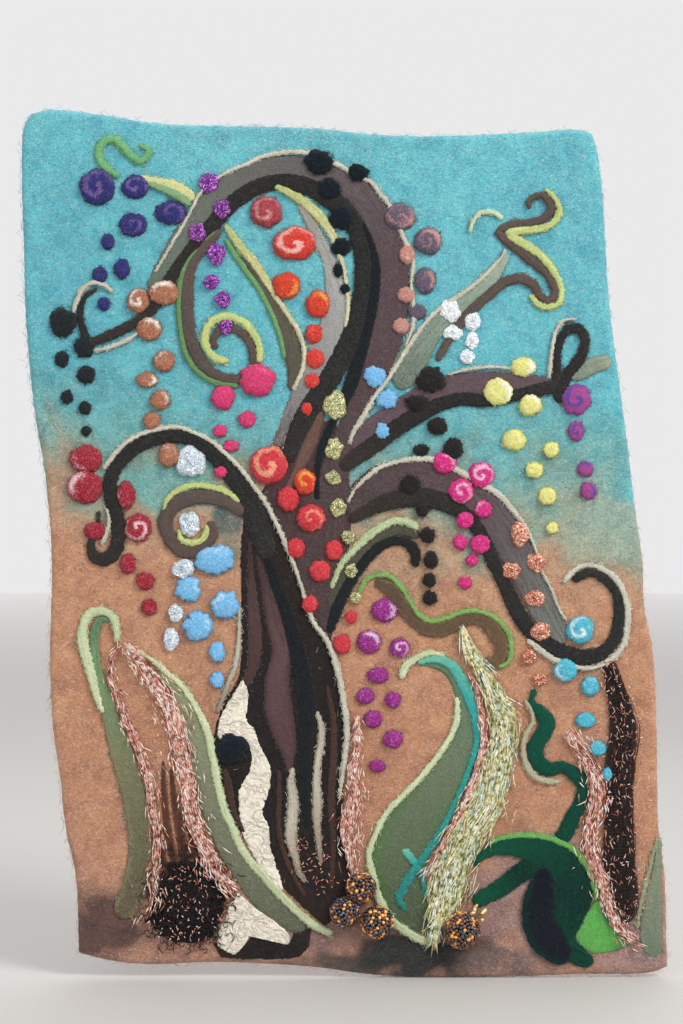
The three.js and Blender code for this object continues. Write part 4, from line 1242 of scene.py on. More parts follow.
def make_limbs():
    """The dark and brown strands of the branches, with the vine and the tendril."""
    dark = wool("wool_arch_dark", [
        (0.0, (60, 52, 47)), (0.25, (42, 39, 37)), (0.7, (34, 38, 38)), (1.0, (44, 44, 42)),
    ], streak=0.4, speck=0.6)
    strand("arch_dark_wool", dark, "wool_dark_brown", STRAND, [
        (-124, 128, 2), (-129, 125, 2), (-132, 119, 3), (-132, 112, 3), (-130, 105, 4), (-128, 100, 5),
    ], [
        (-130, 100, 4), (-113, 107, 5), (-97, 117, 5), (-86, 135, 6), (-71, 154, 8), (-55, 172, 8),
        (-38, 181, 8), (-21, 180, 9), (-4, 170, 10), (7, 155, 10), (9, 130, 9), (3, 104, 11),
        (-6, 86, 11), (-21, 62, 10), (-29, 41, 6),
    ], replaces=["arch_dark_band"], wisps="dark")
    blue_black = flat_wool("wool_arch_blue_black", (22, 28, 32), edge=(36, 34, 34), speck=0.5)
    strand("arch_blue_black_wool", blue_black, "wool_blue_black", STRAND, [
        (8, 162, 2), (13, 150, 4), (15, 136, 6), (14, 122, 6), (11, 107, 6), (6, 90, 7), (2, 78, 7),
        (-3, 68, 5), (-8, 57, 4), (-12, 47, 4), (-14, 34, 3), (-14, 22, 3),
    ], replaces=["arch_blue_black_strand"], wisps="dark")
    brown = wool("wool_loop_brown", [(0.0, (98, 84, 78)), (0.4, (87, 76, 72)), (1.0, (92, 78, 70))])
    strand("loop_brown_wool", brown, "wool_rust", STRAND, [
        (-62, 158, 4), (-71, 149, 6), (-77, 140, 6), (-79, 128, 7), (-79, 116, 7), (-78, 106, 7),
        (-75, 97, 6), (-70, 89, 6), (-62, 84, 5), (-54, 83, 5), (-47, 87, 4), (-46, 95, 4),
        (-49, 103, 4), (-56, 108, 4), (-63, 107, 4), (-66, 102, 3), (-64, 98, 3),
    ], replaces=["loop_brown"], wisps="brown")
    strand("left_arch_dark_wool", dark, "wool_dark_brown", STRAND, [
        (-123, 17, 2), (-124, 8, 2), (-127, 1, 4), (-125, -6, 6), (-120, -7, 7), (-115, -3, 7),
        (-113, 6, 7), (-114, 14, 7), (-117, 24, 7), (-117, 33, 7), (-113, 41, 7), (-104, 49, 7),
        (-92, 54, 7), (-80, 54, 7), (-70, 49, 8), (-61, 40, 9), (-52, 29, 10), (-46, 17, 12),
        (-42, 5, 11), (-38, -7, 8),
    ], replaces=["left_arch_dark"], wisps="dark")
    strand("swirl_brown_wool", brown, "wool_rust", STRAND, [
        (-49, 16, 6), (-60, 22, 7), (-69, 24, 7), (-78, 23, 7), (-86, 19, 7), (-90, 12, 7), (-88, 4, 7),
        (-83, -2, 7), (-76, -3, 7), (-69, 1, 6), (-66, 7, 5), (-68, 12, 3),
    ], replaces=["swirl_brown"], wisps="brown")
    strand("sweep_dark_wool", dark, "wool_dark_brown", STRAND, [
        (2, 12, 5), (12, 18, 7), (22, 22, 9), (36, 24, 10), (48, 22, 10), (59, 16, 8), (67, 7, 7),
        (72, -4, 7), (79, -18, 7), (85, -31, 8), (92, -42, 8), (101, -49, 8), (110, -54, 8),
        (119, -56, 8), (128, -54, 7), (135, -46, 6), (137, -35, 6), (136, -25, 5), (131, -18, 5),
        (124, -14, 4), (118, -15, 4), (114, -18, 4),
    ], replaces=["sweep_dark_strand"], wisps="dark")
    strand("mid_branch_dark_wool", dark, "wool_dark_brown", STRAND, [
        (-3, 38, 7), (11, 48, 9), (22, 56, 9), (31, 62, 9), (40, 67, 8), (49, 71, 7), (58, 73, 7),
        (72, 72, 6), (85, 75, 6), (98, 78, 7), (107, 80, 7),
    ], [
        (106, 78, 6), (106, 88, 4), (106, 96, 4), (108, 103, 4), (112, 108, 5), (117, 108, 5),
        (120, 104, 5),
    ], [
        (118, 107, 5), (120, 103, 5), (119, 97, 5), (116, 91, 6), (111, 85, 6), (108, 79, 7),
        (107, 71, 6),
    ], replaces=["mid_branch_dark"], wisps="dark")
    strand("diagonal_curl_wool", brown, "wool_rust", STRAND, [
        (46, 92, 3), (51, 101, 4), (63, 117, 5), (73, 126, 5), (81, 132, 5), (88, 133, 5), (94, 130, 5),
        (97, 125, 4), (101, 122, 4),
    ], [
        (99, 123, 4), (102, 122, 4), (105, 126, 4), (104, 130, 4), (99, 137, 4), (92, 143, 5),
        (85, 149, 5), (78, 154, 4), (76, 158, 4),
    ], [
        (76, 157, 4), (83, 160, 4), (92, 161, 4), (99, 163, 4), (103, 168, 4), (101, 173, 4),
        (97, 175, 3), (92, 172, 3), (92, 168, 2),
    ], replaces=["diagonal_curl"], wisps="brown")
    branch = wool("wool_small_branch", [(0.0, (24, 34, 38)), (0.5, (30, 34, 36)), (1.0, (34, 34, 34))])
    strand("small_branch_wool", branch, "wool_dark_brown", STRAND, [
        (-8, -44, 4), (-5, -34, 6), (1, -21, 6), (9, -9, 5.5), (17, -1, 5.5), (24, 2, 5), (31, 1, 5),
        (35, -4, 5.5), (35, -11, 4),
    ], replaces=["small_branch_dark"], wisps="dark")
    soil = wool("wool_vine_brown", [(0.0, (92, 76, 62)), (0.5, (96, 80, 62)), (1.0, (104, 84, 62))],
        edge=(140, 108, 82))
    moss = flat_wool("wool_branch_moss", (78, 78, 63))
    strand("small_branch_brown_wool", moss, "wool_rust", BAND, [
        (-8, -31, 4), (-3, -19, 7), (4, -8, 8), (11, 0, 8), (18, 5, 8), (25, 8, 7), (32, 7, 6),
        (37, 4, 4),
    ])
    strand("vine_brown_wool", soil, "wool_rust", STRAND, [
        (15, -18, 4), (22, -22, 7), (27, -28, 8), (33, -35, 8), (40, -41, 8), (48, -42, 8),
        (55, -39, 8), (62, -36, 8), (69, -37, 8), (74, -42, 8), (78, -49, 7), (78, -55, 6),
        (74, -59, 6), (69, -57, 3),
    ], replaces=["vine_brown"], wisps="brown")
    strand("tendril_lime_wool", flat_wool("wool_tendril", (116, 180, 122)), "wool_lime", STRAND, [
        (-103, 200, 2), (-98, 197, 3), (-102, 192, 4), (-107, 195, 4), (-112, 200, 4), (-116, 203, 4),
        (-121, 201, 4), (-123, 196, 4), (-121, 190, 4), (-113, 184, 3),
    ], replaces=["tendril_lime"], wisps="lime")


def make_leaves():
    """The green strands, with the pale edges of the leaves."""
    deep = wool("wool_deep_green", [(0.0, (10, 80, 60)), (0.5, (8, 68, 52)), (1.0, (8, 62, 48))])
    hook = wool("wool_hook_green", [
        (0.0, (12, 84, 58)), (0.35, (9, 66, 48)), (0.6, (7, 42, 36)), (1.0, (10, 62, 46)),
    ])
    strand("snake_green_wool", deep, "wool_dark_green", STRAND, [
        (95, -72, 3), (93, -78, 3), (97, -83, 6), (101, -89, 8), (98, -96, 8), (95, -102, 8),
        (97, -109, 8), (102, -112, 7), (108, -111, 6), (114, -114, 7), (119, -120, 7), (118, -128, 7),
        (114, -136, 8), (110, -144, 8), (106, -149, 8),
    ], replaces=["snake_green"], wisps="deep")
    strand("hook_green_wool", hook, "wool_dark_green", STRAND, [
        (64, -160, 3), (70, -154, 5), (78, -151, 8), (90, -151, 12), (101, -155, 16), (110, -163, 20),
        (113, -173, 22), (110, -184, 20), (108, -194, 16), (111, -201, 12), (118, -206, 9),
        (124, -209, 6),
    ], [(64, -179, 7), (78, -171, 9), (92, -161, 10), (104, -156, 10)], replaces=["hook_green"],
        wisps="deep")
    teal = wool("wool_teal_vein",
        [(0.0, (120, 196, 170)), (0.3, (52, 160, 156)), (1.0, (34, 124, 118))])
    strand("right_leaf_vein_wool", teal, "wool_teal", STRAND, [
        (36, -59, 2), (45, -57, 4), (53, -60, 5), (58, -67, 6), (62, -76, 6), (65, -85, 5),
        (66, -97, 4), (63, -109, 3), (58, -122, 3), (52, -135, 3), (45, -148, 4), (37, -159, 4),
        (30, -170, 5), (27, -177, 4), (31, -183, 2),
    ], [(29, -152, 4), (34, -158, 4), (38, -164, 3), (40, -175, 2)], replaces=["right_leaf_teal_vein"],
        wisps="green")
    pale = wool("wool_pale_leaf",
        [(0.0, (216, 226, 184)), (0.5, (198, 211, 168)), (1.0, (190, 202, 158))], streak=0.3)
    strand("left_leaf_tip_wool", pale, "wool_pale_green", EDGE, [
        (-121, -84, 2), (-125, -72, 4), (-128, -60, 5), (-131, -49, 5.5), (-131, -42, 5),
        (-128, -35, 5), (-123, -33, 4.5), (-118, -34, 4), (-115, -38, 4), (-114, -44, 3.5),
        (-114, -49, 2.5),
    ], replaces=["left_leaf_tip"], wisps="pale")
    strand("left_leaf_edge_wool", pale, "wool_pale_green", EDGE, [
        (-104, -53, 2), (-97, -57, 2), (-89, -64, 3), (-82, -70, 3), (-75, -80, 3), (-69, -93, 4),
        (-66, -106, 4), (-64, -118, 4), (-61, -130, 4), (-56, -142, 4), (-51, -153, 4), (-42, -164, 4),
        (-34, -173, 4), (-24, -183, 4), (-14, -191, 4), (-6, -194, 3),
    ], replaces=["left_leaf_pale_edge"], wisps="pale")
    strand("right_leaf_edge_wool", pale, "wool_pale_green", EDGE, [
        (56, -76, 2), (56, -86, 3), (53, -95, 3), (46, -106, 3), (36, -118, 3), (28, -126, 3),
        (20, -135, 3), (15, -145, 3), (12, -155, 3), (14, -166, 4), (17, -177, 4), (24, -188, 4),
        (32, -194, 4), (41, -198, 4), (48, -197, 3),
    ], replaces=["right_leaf_pale_edge"], wisps="pale")
    strand("right_leaf_curl_wool", pale, "wool_pale_green", EDGE, [
        (28, -67, 3), (30, -61, 4), (35, -57, 3.5), (42, -54, 3), (50, -55, 2),
    ], wisps="pale")
    bright = flat_wool("wool_hook_bright", (106, 170, 90))
    strand("hook_bright_wool", bright, "wool_bright_green", EDGE, [
        (71, -149, 2), (80, -146, 2.5), (92, -145, 3), (104, -147, 3), (114, -152, 3), (121, -161, 3),
        (125, -171, 3), (125, -178, 2),
    ], wisps="lime")
    strand("snake_cream_wool", flat_wool("wool_snake_cream", (182, 178, 148), streak=0.3),
        "wool_cream", EDGE, [
        (90, -77, 1.5), (93, -83, 2), (94, -88, 2), (91, -93, 2.5), (89, -100, 2.5), (90, -108, 3),
        (94, -115, 3), (101, -118, 3), (108, -118, 2),
    ], wisps="cream")


def make_edges():
    """Cream lines along the limbs, at three quarters of their drawn width."""
    cream = flat_wool("wool_edge_cream", (204, 201, 184), streak=0.3)

    def line(name, *runs, replaces=()):
        strand(name, cream, "wool_cream", EDGE, *runs, replaces=replaces, wisps="cream", widen=0.75)

    line("arch_cream_wool", [
        (-95, 136, 2), (-88, 148, 2), (-78, 165, 2), (-72, 176, 2), (-61, 185, 2), (-50, 190, 3),
        (-41, 194, 3), (-31, 196, 3), (-21, 196, 3), (-4, 190, 3), (5, 185, 3), (13, 181, 3),
        (18, 175, 3), (22, 170, 3), (29, 154, 3), (34, 141, 3), (33, 130, 2), (34, 122, 3),
        (34, 110, 3), (30, 99, 2),
    ], replaces=["arch_cream_edge"])
    line("left_arch_cream_wool", [
        (-121, 38, 3), (-112, 49, 3), (-103, 55, 3), (-93, 58, 3), (-84, 59, 3), (-75, 56, 3),
        (-67, 52, 3), (-59, 45, 3), (-52, 38, 3), (-46, 30, 3), (-39, 20, 3), (-30, 1, 3),
        (-23, -17, 2), (-16, -38, 3), (-9, -48, 3), (-5, -58, 4), (-1, -76, 4), (1, -94, 4),
        (-1, -112, 3), (-3, -127, 2),
    ], replaces=["left_arch_cream_edge"])
    line("sweep_cream_wool", [
        (1, 21, 2), (5, 28, 2), (11, 34, 3), (18, 39, 3), (28, 42, 3), (42, 43, 4), (55, 38, 4),
        (67, 31, 4), (77, 25, 4), (85, 16, 3), (90, 9, 3), (94, 1, 2), (98, -12, 2), (103, -22, 2),
        (108, -34, 2), (111, -38, 2),
    ], replaces=["sweep_cream_edge"])
    line("diagonal_cream_wool", [
        (2, 50, 2), (4, 56, 3), (9, 64, 4), (14, 73, 3), (20, 81, 3), (26, 90, 3), (35, 104, 3),
        (44, 115, 3), (56, 124, 3), (66, 131, 3), (74, 139, 3), (79, 145, 2), (80, 148, 2),
    ], replaces=["diagonal_cream_edge"])
    line("arch_tip_cream_wool", [
        (-136, 115, 2), (-134, 122, 3), (-130, 129, 3), (-125, 131, 3), (-119, 129, 3), (-116, 126, 2),
    ], [(-126, 97, 2), (-117, 99, 3), (-108, 103, 3), (-102, 107, 1.5)])
    line("left_hook_cream_wool", [(-119, 19, 1.5), (-118, 11, 2.5), (-120, 4, 3), (-122, 0, 2)])
    line("sweep_curl_cream_wool", [
        (91, -47, 3), (97, -52, 4), (104, -57, 4), (116, -61, 3), (125, -61, 3), (133, -57, 3.5),
        (139, -50, 4), (141, -41, 4), (141, -30, 4), (138, -21, 4), (132, -14, 4), (123, -10, 3.5),
        (117, -11, 3.5), (111, -16, 4), (109, -19, 3),
    ])
    line("mid_branch_cream_wool", [(51, 85, 1.5), (63, 88, 2), (75, 89, 2), (84, 88, 1.5)], [
        (102, 83, 2), (103, 95, 2.5), (105, 106, 2.5), (109, 112, 2), (116, 113, 1.5),
    ])
    strand("wedge_line_wool", flat_wool("wool_wedge_line", (156, 156, 126)), "wool_pale_green", BAND, [
        (156, -146, 1.5), (152, -162, 2), (148, -178, 2), (146, -192, 2),
    ], wisps="pale")


def make_coloured_lines():
    """Green, yellow and pale lines beside the limbs."""
    green = flat_wool("wool_line_green", (112, 162, 104))
    strand("ribbon_green_wool", flat_wool("wool_ribbon_green", (138, 176, 130)), "wool_green", EDGE, [
        (-99, 181, 2), (-91, 178, 3.5), (-83, 174, 4), (-77, 170, 3),
    ], wisps="green")
    strand("inner_branch_green_wool", green, "wool_green", BAND, [
        (-60, 153, 2), (-53, 142, 3), (-43.5, 129, 3), (-37, 117, 3), (-32.5, 105, 3), (-30, 93, 2),
    ], wisps="green")
    strand("loop_green_wool", flat_wool("wool_loop_green", (102, 142, 90)), "wool_green", STRAND, [
        (-63, 158, 2), (-73, 149, 2.5), (-80.5, 138, 3), (-83, 122, 3), (-82, 106, 3), (-79, 94, 3),
        (-73, 86, 3), (-64, 81, 3), (-53, 79.5, 3),
    ], wisps="green")
    inner = wool("wool_inner_pale", [
        (0.0, (186, 196, 120)), (0.4, (200, 198, 140)), (0.65, (204, 198, 172)), (1.0, (206, 200, 176)),
    ], streak=0.3)
    strand("inner_branch_pale_wool", inner, "wool_yellow", STRAND, [
        (-60, 160, 2.5), (-53, 150, 4.5), (-45.5, 141, 4.5), (-37, 128, 3.5), (-30, 117, 2.5),
        (-23.5, 107, 2.5), (-20.5, 98, 2.5), (-21, 89, 2.5), (-26, 77, 2),
    ], wisps="yellow")
    strand("grey_band_edge_wool", inner, "wool_yellow", EDGE, [
        (-36, 180, 2.5), (-28, 176, 4), (-19, 170, 5), (-12, 163, 5), (-6, 154, 4), (-1.5, 141, 2.2),
        (0.5, 131, 2), (1.5, 119, 2), (0, 108, 2),
    ], wisps="yellow")
    yellow = flat_wool("wool_line_yellow", (196, 212, 134), streak=0.3)
    strand("loop_yellow_wool", yellow, "wool_yellow", EDGE, [
        (-43, 91, 3), (-43, 99, 3.5), (-46, 106, 4), (-52, 112, 4), (-60, 114, 4), (-67, 111, 4),
        (-70, 104, 4), (-69, 98, 4), (-64, 93, 4), (-58, 92, 3),
    ], wisps="yellow")
    strand("swirl_yellow_wool", yellow, "wool_yellow", EDGE, [
        (-91, 17, 1.5), (-88, 24, 2.5), (-82, 28, 3), (-74, 30, 3), (-67, 29, 3), (-60, 27, 3),
        (-52, 21, 2),
    ], [(-83, 8, 2), (-82, 3, 3), (-77, 1, 3.5), (-71, 3, 3.5), (-69, 8, 3), (-70, 10, 2)],
        wisps="yellow")
    strand("diagonal_yellow_wool", yellow, "wool_yellow", EDGE, [
        (92, 125, 2), (97, 120, 3), (102, 119, 3), (107, 121, 3), (108, 128, 3), (104, 137, 3.5),
        (96, 146, 4), (88, 151, 4.5), (81, 155, 4),
    ], [
        (80, 156, 4), (88, 157, 4), (97, 158, 3.5), (104, 161, 3), (107, 167, 3), (105, 173, 2.5),
        (100, 178, 2),
    ], wisps="yellow")
    strand("small_branch_pale_wool", flat_wool("wool_branch_pale", (186, 202, 156), streak=0.3),
        "wool_pale_green", EDGE, [
        (-7, -22, 2), (-2, -10, 3), (3, -4, 3.5), (10, 3, 4), (18, 9, 4), (25, 12, 4), (32, 11, 4),
        (37, 8, 3),
    ], wisps="pale")
    strand("diagonal_pale_curl_wool", flat_wool("wool_curl_pale", (206, 226, 190), streak=0.3),
        "wool_pale_green", EDGE, [
        (62, 156, 1.5), (64, 162, 2), (68, 166, 2.5), (74, 166, 2.5), (79, 163, 2.5),
    ], wisps="pale")
    strand("vine_green_wool", flat_wool("wool_vine_green", (130, 172, 94), streak=0.35), "wool_lime",
        EDGE, [
        (7, -24, 2.5), (10, -18, 2.5), (16, -15, 2.5), (23, -16, 2.5), (28, -21, 2.5), (33, -29, 2.2),
        (37, -35, 2.5), (43, -38, 2.5), (52, -36, 2.5), (61, -33, 2.5), (70, -34, 2.5), (77, -38, 2.5),
        (82, -45, 2.5), (83, -52, 2.5), (81, -59, 2.5), (76, -61, 2),
    ], wisps="lime")


# --- Dots, in chains of (x, z, width, length) ------------------------------------------------------

def make_dots():
    """Each chain's colour, its second colour, its dots, and how much of the second they show."""
    dots("dots_navy", "wool_navy", (38, 44, 104), (132, 104, 166), [
        (-124, 179, 18, 18), (-105, 179, 14, 12), (-87, 166, 16, 12), (-106, 160, 14, 12),
        (-118.5, 151.5, 7, 8), (-111.5, 138, 8, 10), (-122.5, 135, 8, 8), (-120.5, 120.5, 6, 7),
    ], {0: 0.7, 1: 0.7, 2: 0.5, 3: 0.5}, replaces=["navy_dot"])
    dots("dots_blue_black", "wool_blue_black", (12, 24, 32), (30, 44, 54), [
        (-13, 191, 15, 13), (6.5, 186, 11, 9), (-8, 178, 12, 11), (-2, 163.5, 12, 12), (-2, 149, 10, 9),
        (-3.5, 137, 5, 7), (0, 128, 5, 5),
    ], rise=0.8, lobes=0.07)
    dots("dots_red", "wool_red", (210, 46, 32), (250, 192, 184), [
        (-25.5, 150.5, 22, 17), (-15.5, 105.5, 9, 10), (-15, 93, 10, 10), (-16.5, 82, 8, 8),
        (-19, 68, 6, 7),
    ], {0: 1.0}, {}, ["red_swirl_dot"], rise=0.4)
    dots("dots_red_gold", "wool_red", (210, 54, 44), (244, 172, 82),
        [(-29.5, 129.5, 14, 14), (-13.5, 120.5, 12, 14), (-20, 31.5, 11, 13)], {2: 0.5},
        {0: (0.7, 330), 1: (0.8, 60), 2: (0.6, 100)}, rise=0.6)
    dots("dot_dark_red", "wool_red", (158, 56, 66), (218, 156, 154), [(-39.5, 166.5, 16, 16)],
        {0: 0.7}, rise=0.4)
    dots("dots_mauve", "wool_mauve", (90, 84, 104), (200, 146, 138), [
        (27.5, 164, 16, 14), (41.5, 152, 14, 14), (40, 132, 11, 13), (36, 116.5, 9, 8),
    ], {0: 0.5, 1: 0.5}, {0: (0.8, 330), 1: (0.9, 40), 2: (0.9, 10)})
    dots("dots_peach", "wool_orange", (190, 132, 122), (232, 190, 176),
        [(31, 145, 8, 10), (30.5, 125, 9, 8), (28, 109.5, 9, 8)], {0: 0.4}, rise=0.6)
    dots("dots_pink", "wool_pink", (214, 56, 108), (240, 120, 156), [
        (-44, 82.5, 18, 17), (-61, 74, 12, 12), (-49, 63, 9, 8), (-62.5, 57, 7, 6), (-57, 49.5, 8, 6),
        (-62, 36.5, 7, 6),
    ], {}, {0: (0.4, 60)}, ["pink_dot"], rise=0.5, lobes=0.09)
    dots("dots_orange", "wool_orange", (162, 98, 68), (238, 230, 222), [
        (-103.5, 122, 11, 12), (-90.5, 126, 16, 13), (-98, 108, 13, 12), (-90.5, 92, 11, 11),
        (-99, 82.5, 11, 8), (-92.5, 72.5, 10, 10), (-96.5, 62, 9, 9), (-88, 45, 11, 12),
    ], {0: 0.8},
        {1: (1.0, 100), 2: (1.0, 60), 3: (0.5, 120), 4: (1.0, 340), 5: (0.7, 20), 7: (0.4, 90)},
        rise=0.5)
    dots("dots_black_left", "wool_black", (28, 34, 38), (58, 64, 70), [
        (-141, 111.5, 14, 15), (-130.5, 99, 10, 11), (-141.5, 93, 7, 8), (-129.5, 85, 9, 9),
        (-139, 74, 6, 7), (-130, 68.5, 6, 7), (-129.5, 57, 5, 5),
    ], lobes=0.07)
    dots("dots_crimson", "wool_crimson", (148, 14, 36), (240, 206, 208), [
        (-129.5, 43, 16, 14), (-130, 29, 18, 17), (-109.5, 25, 9, 14), (-103.5, 8.5, 13, 14),
        (-125, 7, 11, 9), (-108.5, -9.5, 8, 10), (-100, -18, 9, 9), (-98, -31, 8, 8),
    ], {3: 0.8}, {0: (0.4, 220), 1: (1.0, 150), 2: (0.3, 200)}, ["crimson_dot"], rise=0.4)
    dots("dots_light_blue", "wool_light_blue", (112, 184, 236), (216, 236, 248), [
        (-65, -7.5, 19, 15), (-78.5, -22, 12, 13), (-60, -30, 14, 14), (-73.5, -40.5, 15, 14),
        (-64, -53.5, 8, 10), (-64, -67.5, 7, 8), (15, 84, 11, 11), (21, 73, 11, 10), (18.5, 57, 7, 8),
    ], {}, {0: (0.45, 80), 1: (0.3, 10), 2: (0.5, 140), 3: (0.4, 40)}, ["light_blue_dot"], rise=0.5,
        lobes=0.11)
    dots("dots_trunk_red", "wool_red", (206, 44, 60), (246, 172, 136), [
        (-38, 40, 19, 19), (-28.5, 23, 11, 12), (-17, 13.5, 14, 14), (-24.5, -1.5, 9, 10),
        (-5.5, -2.5, 9, 10), (-12.5, -13, 11, 11), (-17.5, -29.5, 8, 9), (3, -36, 6, 6),
        (-1.5, -49.5, 9, 10),
    ], {0: 0.95, 2: 0.6}, {}, ["trunk_red_dot"], rise=0.9)
    dots("dots_black_right", "wool_black", (32, 29, 29), (62, 58, 60), [
        (43, 82.5, 15, 13), (36, 71, 12, 8), (46, 59.5, 10, 9), (54, 48, 10, 11), (38, 47.5, 8, 6),
        (32.5, 30.5, 10, 10), (38.5, 17.5, 7, 7), (41, 5, 8, 8), (43, -7.5, 7, 9), (42, -17.5, 7, 7),
        (42.5, -26.5, 7, 7),
    ], rise=0.9, lobes=0.08)
    dots("dots_yellow", "wool_yellow", (230, 228, 126), (250, 250, 240), [
        (89, 89, 13, 10), (76.5, 76.5, 15, 14), (92.5, 70, 12, 11), (84.5, 52.5, 12, 11),
        (103, 47.5, 8, 8), (94.5, 37.5, 9, 8), (101, 24.5, 9, 9), (103.5, 8.5, 6, 6),
    ], {}, {0: (1.0, 350), 1: (1.0, 20), 2: (0.8, 60)}, rise=0.4)
    dots("dots_plum", "wool_magenta", (164, 72, 138), (82, 72, 156), [
        (115.5, 73, 15, 16), (115.5, 57, 8, 10), (120, 38, 8, 8), (121.5, 27, 8, 9),
    ], {0: 1.0, 1: 1.0}, {2: (1.0, 90), 3: (1.0, 0)})
    dots("dots_magenta", "wool_magenta", (212, 22, 116), (246, 206, 228), [
        (49.5, 41, 12, 11), (68, 35, 13, 13), (58, 27, 13, 13), (69, 18, 9, 9), (60, 12.5, 9, 9),
        (57.5, 1.5, 7, 8), (67.5, 0.5, 10, 10), (63.5, -7.5, 6, 6), (60, -19, 7, 6),
    ], {1: 0.9, 2: 0.7}, {0: (0.6, 30), 3: (0.5, 120)}, rise=0.8)
    dots("dots_turquoise", "wool_turquoise", (62, 176, 204), (236, 246, 246), [
        (117.5, -42.5, 14, 14), (110, -62.5, 12, 12), (122.5, -70.5, 9, 10), (120, -87.5, 10, 8),
        (126, -101.5, 9, 8), (131, -114.5, 5, 7),
    ], {0: 0.8}, {1: (0.8, 200), 2: (0.3, 90)}, rise=0.8)
    dots("dots_violet", "wool_violet", (142, 24, 122), (228, 200, 226), [
        (19.5, -32.5, 13, 12), (12, -48.5, 12, 12), (27.5, -51.5, 10, 10), (16.5, -65, 11, 8),
        (10, -75.5, 9, 8), (24, -77.5, 8, 8), (14, -87, 9, 9), (24, -97, 10, 9), (16, -110.5, 8, 6),
    ], {2: 0.8}, {0: (0.8, 350), 1: (1.0, 60)}, rise=0.4)
    dots("trunk_knot", "wool_blue_black", (17, 24, 33), (40, 52, 62), [(-57, -102, 17, 16)], lobes=0.1)
    glitter_dots("dots_purple_glitter",
        glitter("glitter_purple", (126, 34, 146), ((206, 126, 222), (64, 22, 108))), "glitter_purple", [
        (-68, 181, 10, 11), (-61.5, 168, 9, 10), (-74, 156, 10, 10), (-64, 145.5, 9, 12),
        (-67, 131.5, 8, 8), (-61, 122.5, 8, 9), (-59.5, 109, 7, 8),
    ], rise=1.2)
    glitter_dots("dots_silver_left",
        glitter("glitter_silver", (198, 211, 222), ((248, 252, 255), (166, 188, 206)), 0.8),
        "glitter_silver", [
        (-77, 41, 15, 17), (-77.5, 10.5, 11, 13), (-81, -12, 11, 10), (-84.5, -34, 8, 9),
        (-87, -47, 9, 11),
    ], rise=1.0)
    glitter_dots("dots_silver_right",
        glitter("glitter_pale", (228, 234, 238), ((255, 255, 255), (200, 216, 224)), 0.86),
        "glitter_silver", [
        (52.5, 117, 11, 12), (63.5, 112, 9, 11), (54, 106.5, 10, 8), (63.5, 102, 7, 8), (61, 94, 8, 7),
    ])
    glitter_dots("dots_gold",
        glitter("glitter_gold", (174, 170, 118), ((232, 230, 180), (112, 140, 94))), "glitter_gold", [
        (-5, 69.5, 12, 15), (-5.5, 48, 9, 11), (-6, 33.5, 8, 8), (-3.5, 18.5, 9, 9), (1.5, 4, 7, 7),
        (3, -13, 7, 7), (5.5, -26.5, 6, 6),
    ], rise=1.2)
    glitter_dots("dots_copper",
        glitter("glitter_copper", (200, 124, 96), ((248, 200, 176), (120, 66, 52))), "glitter_copper", [
        (87, 5.5, 11, 12), (95.5, -8.5, 9, 11), (83, -13, 10, 9), (94.5, -26.5, 10, 9),
        (97.5, -43.5, 11, 10), (92, -55.5, 7, 8), (97.5, -67, 7, 7),
    ], rise=1.0)


# --- Bundles, mesh and beaded balls ----------------------------------------------------------------

COPPER_LEFT = [
    (-112, -47, 3), (-115, -54, 4), (-117, -66, 4), (-113, -75, 4), (-110, -86, 5), (-104, -99, 5),
    (-100, -110, 5), (-97, -120, 5), (-96, -132, 5), (-94, -144, 5), (-94, -155, 5), (-96, -167, 6),
    (-95, -178, 6), (-100, -188, 5),
]
COPPER_INNER = [
    (-110, -49, 3), (-104, -56, 5), (-98, -64, 7), (-92, -73, 9), (-87, -82, 9), (-84, -94, 9),
    (-81, -107, 8), (-78, -120, 8), (-78, -131, 7), (-74, -143, 7), (-68, -156, 7), (-63, -166, 6),
    (-58, -172, 4),
]
COPPER_TRUNK = [
    (6, -85, 2), (6, -94, 3), (6, -104, 4), (4, -114, 6), (5, -123, 8), (4, -131, 8), (2, -138, 10),
    (1, -145, 8), (3, -154, 6), (3, -163, 4),
]
COPPER_RIGHT = [
    (111, -92, 6), (116, -100, 8), (121, -107, 8), (125, -117, 8), (126, -128, 8), (123, -140, 7),
    (123, -154, 7), (128, -167, 6), (131, -178, 5), (134, -186, 5), (139, -194, 5), (145, -199, 2),
]
COPPER_MIDDLE = [
    (62, -63, 2), (66, -72, 3), (68, -84, 3.5), (69, -97, 4), (67, -110, 4), (62, -124, 4),
    (57, -136, 4), (50, -148, 4), (44, -159, 4), (40, -166, 2.5),
]
GOLD_ROUTE = [
    (58, -40, 3), (61, -50, 6), (65, -57, 6), (70, -66, 7), (74, -75, 9), (79, -84, 12), (79, -97, 13),
    (77, -108, 14), (74, -121, 16), (68, -133, 17), (61, -145, 18), (55, -157, 19), (52, -168, 20),
    (49, -179, 18), (47, -187, 12), (45, -193, 5),
]


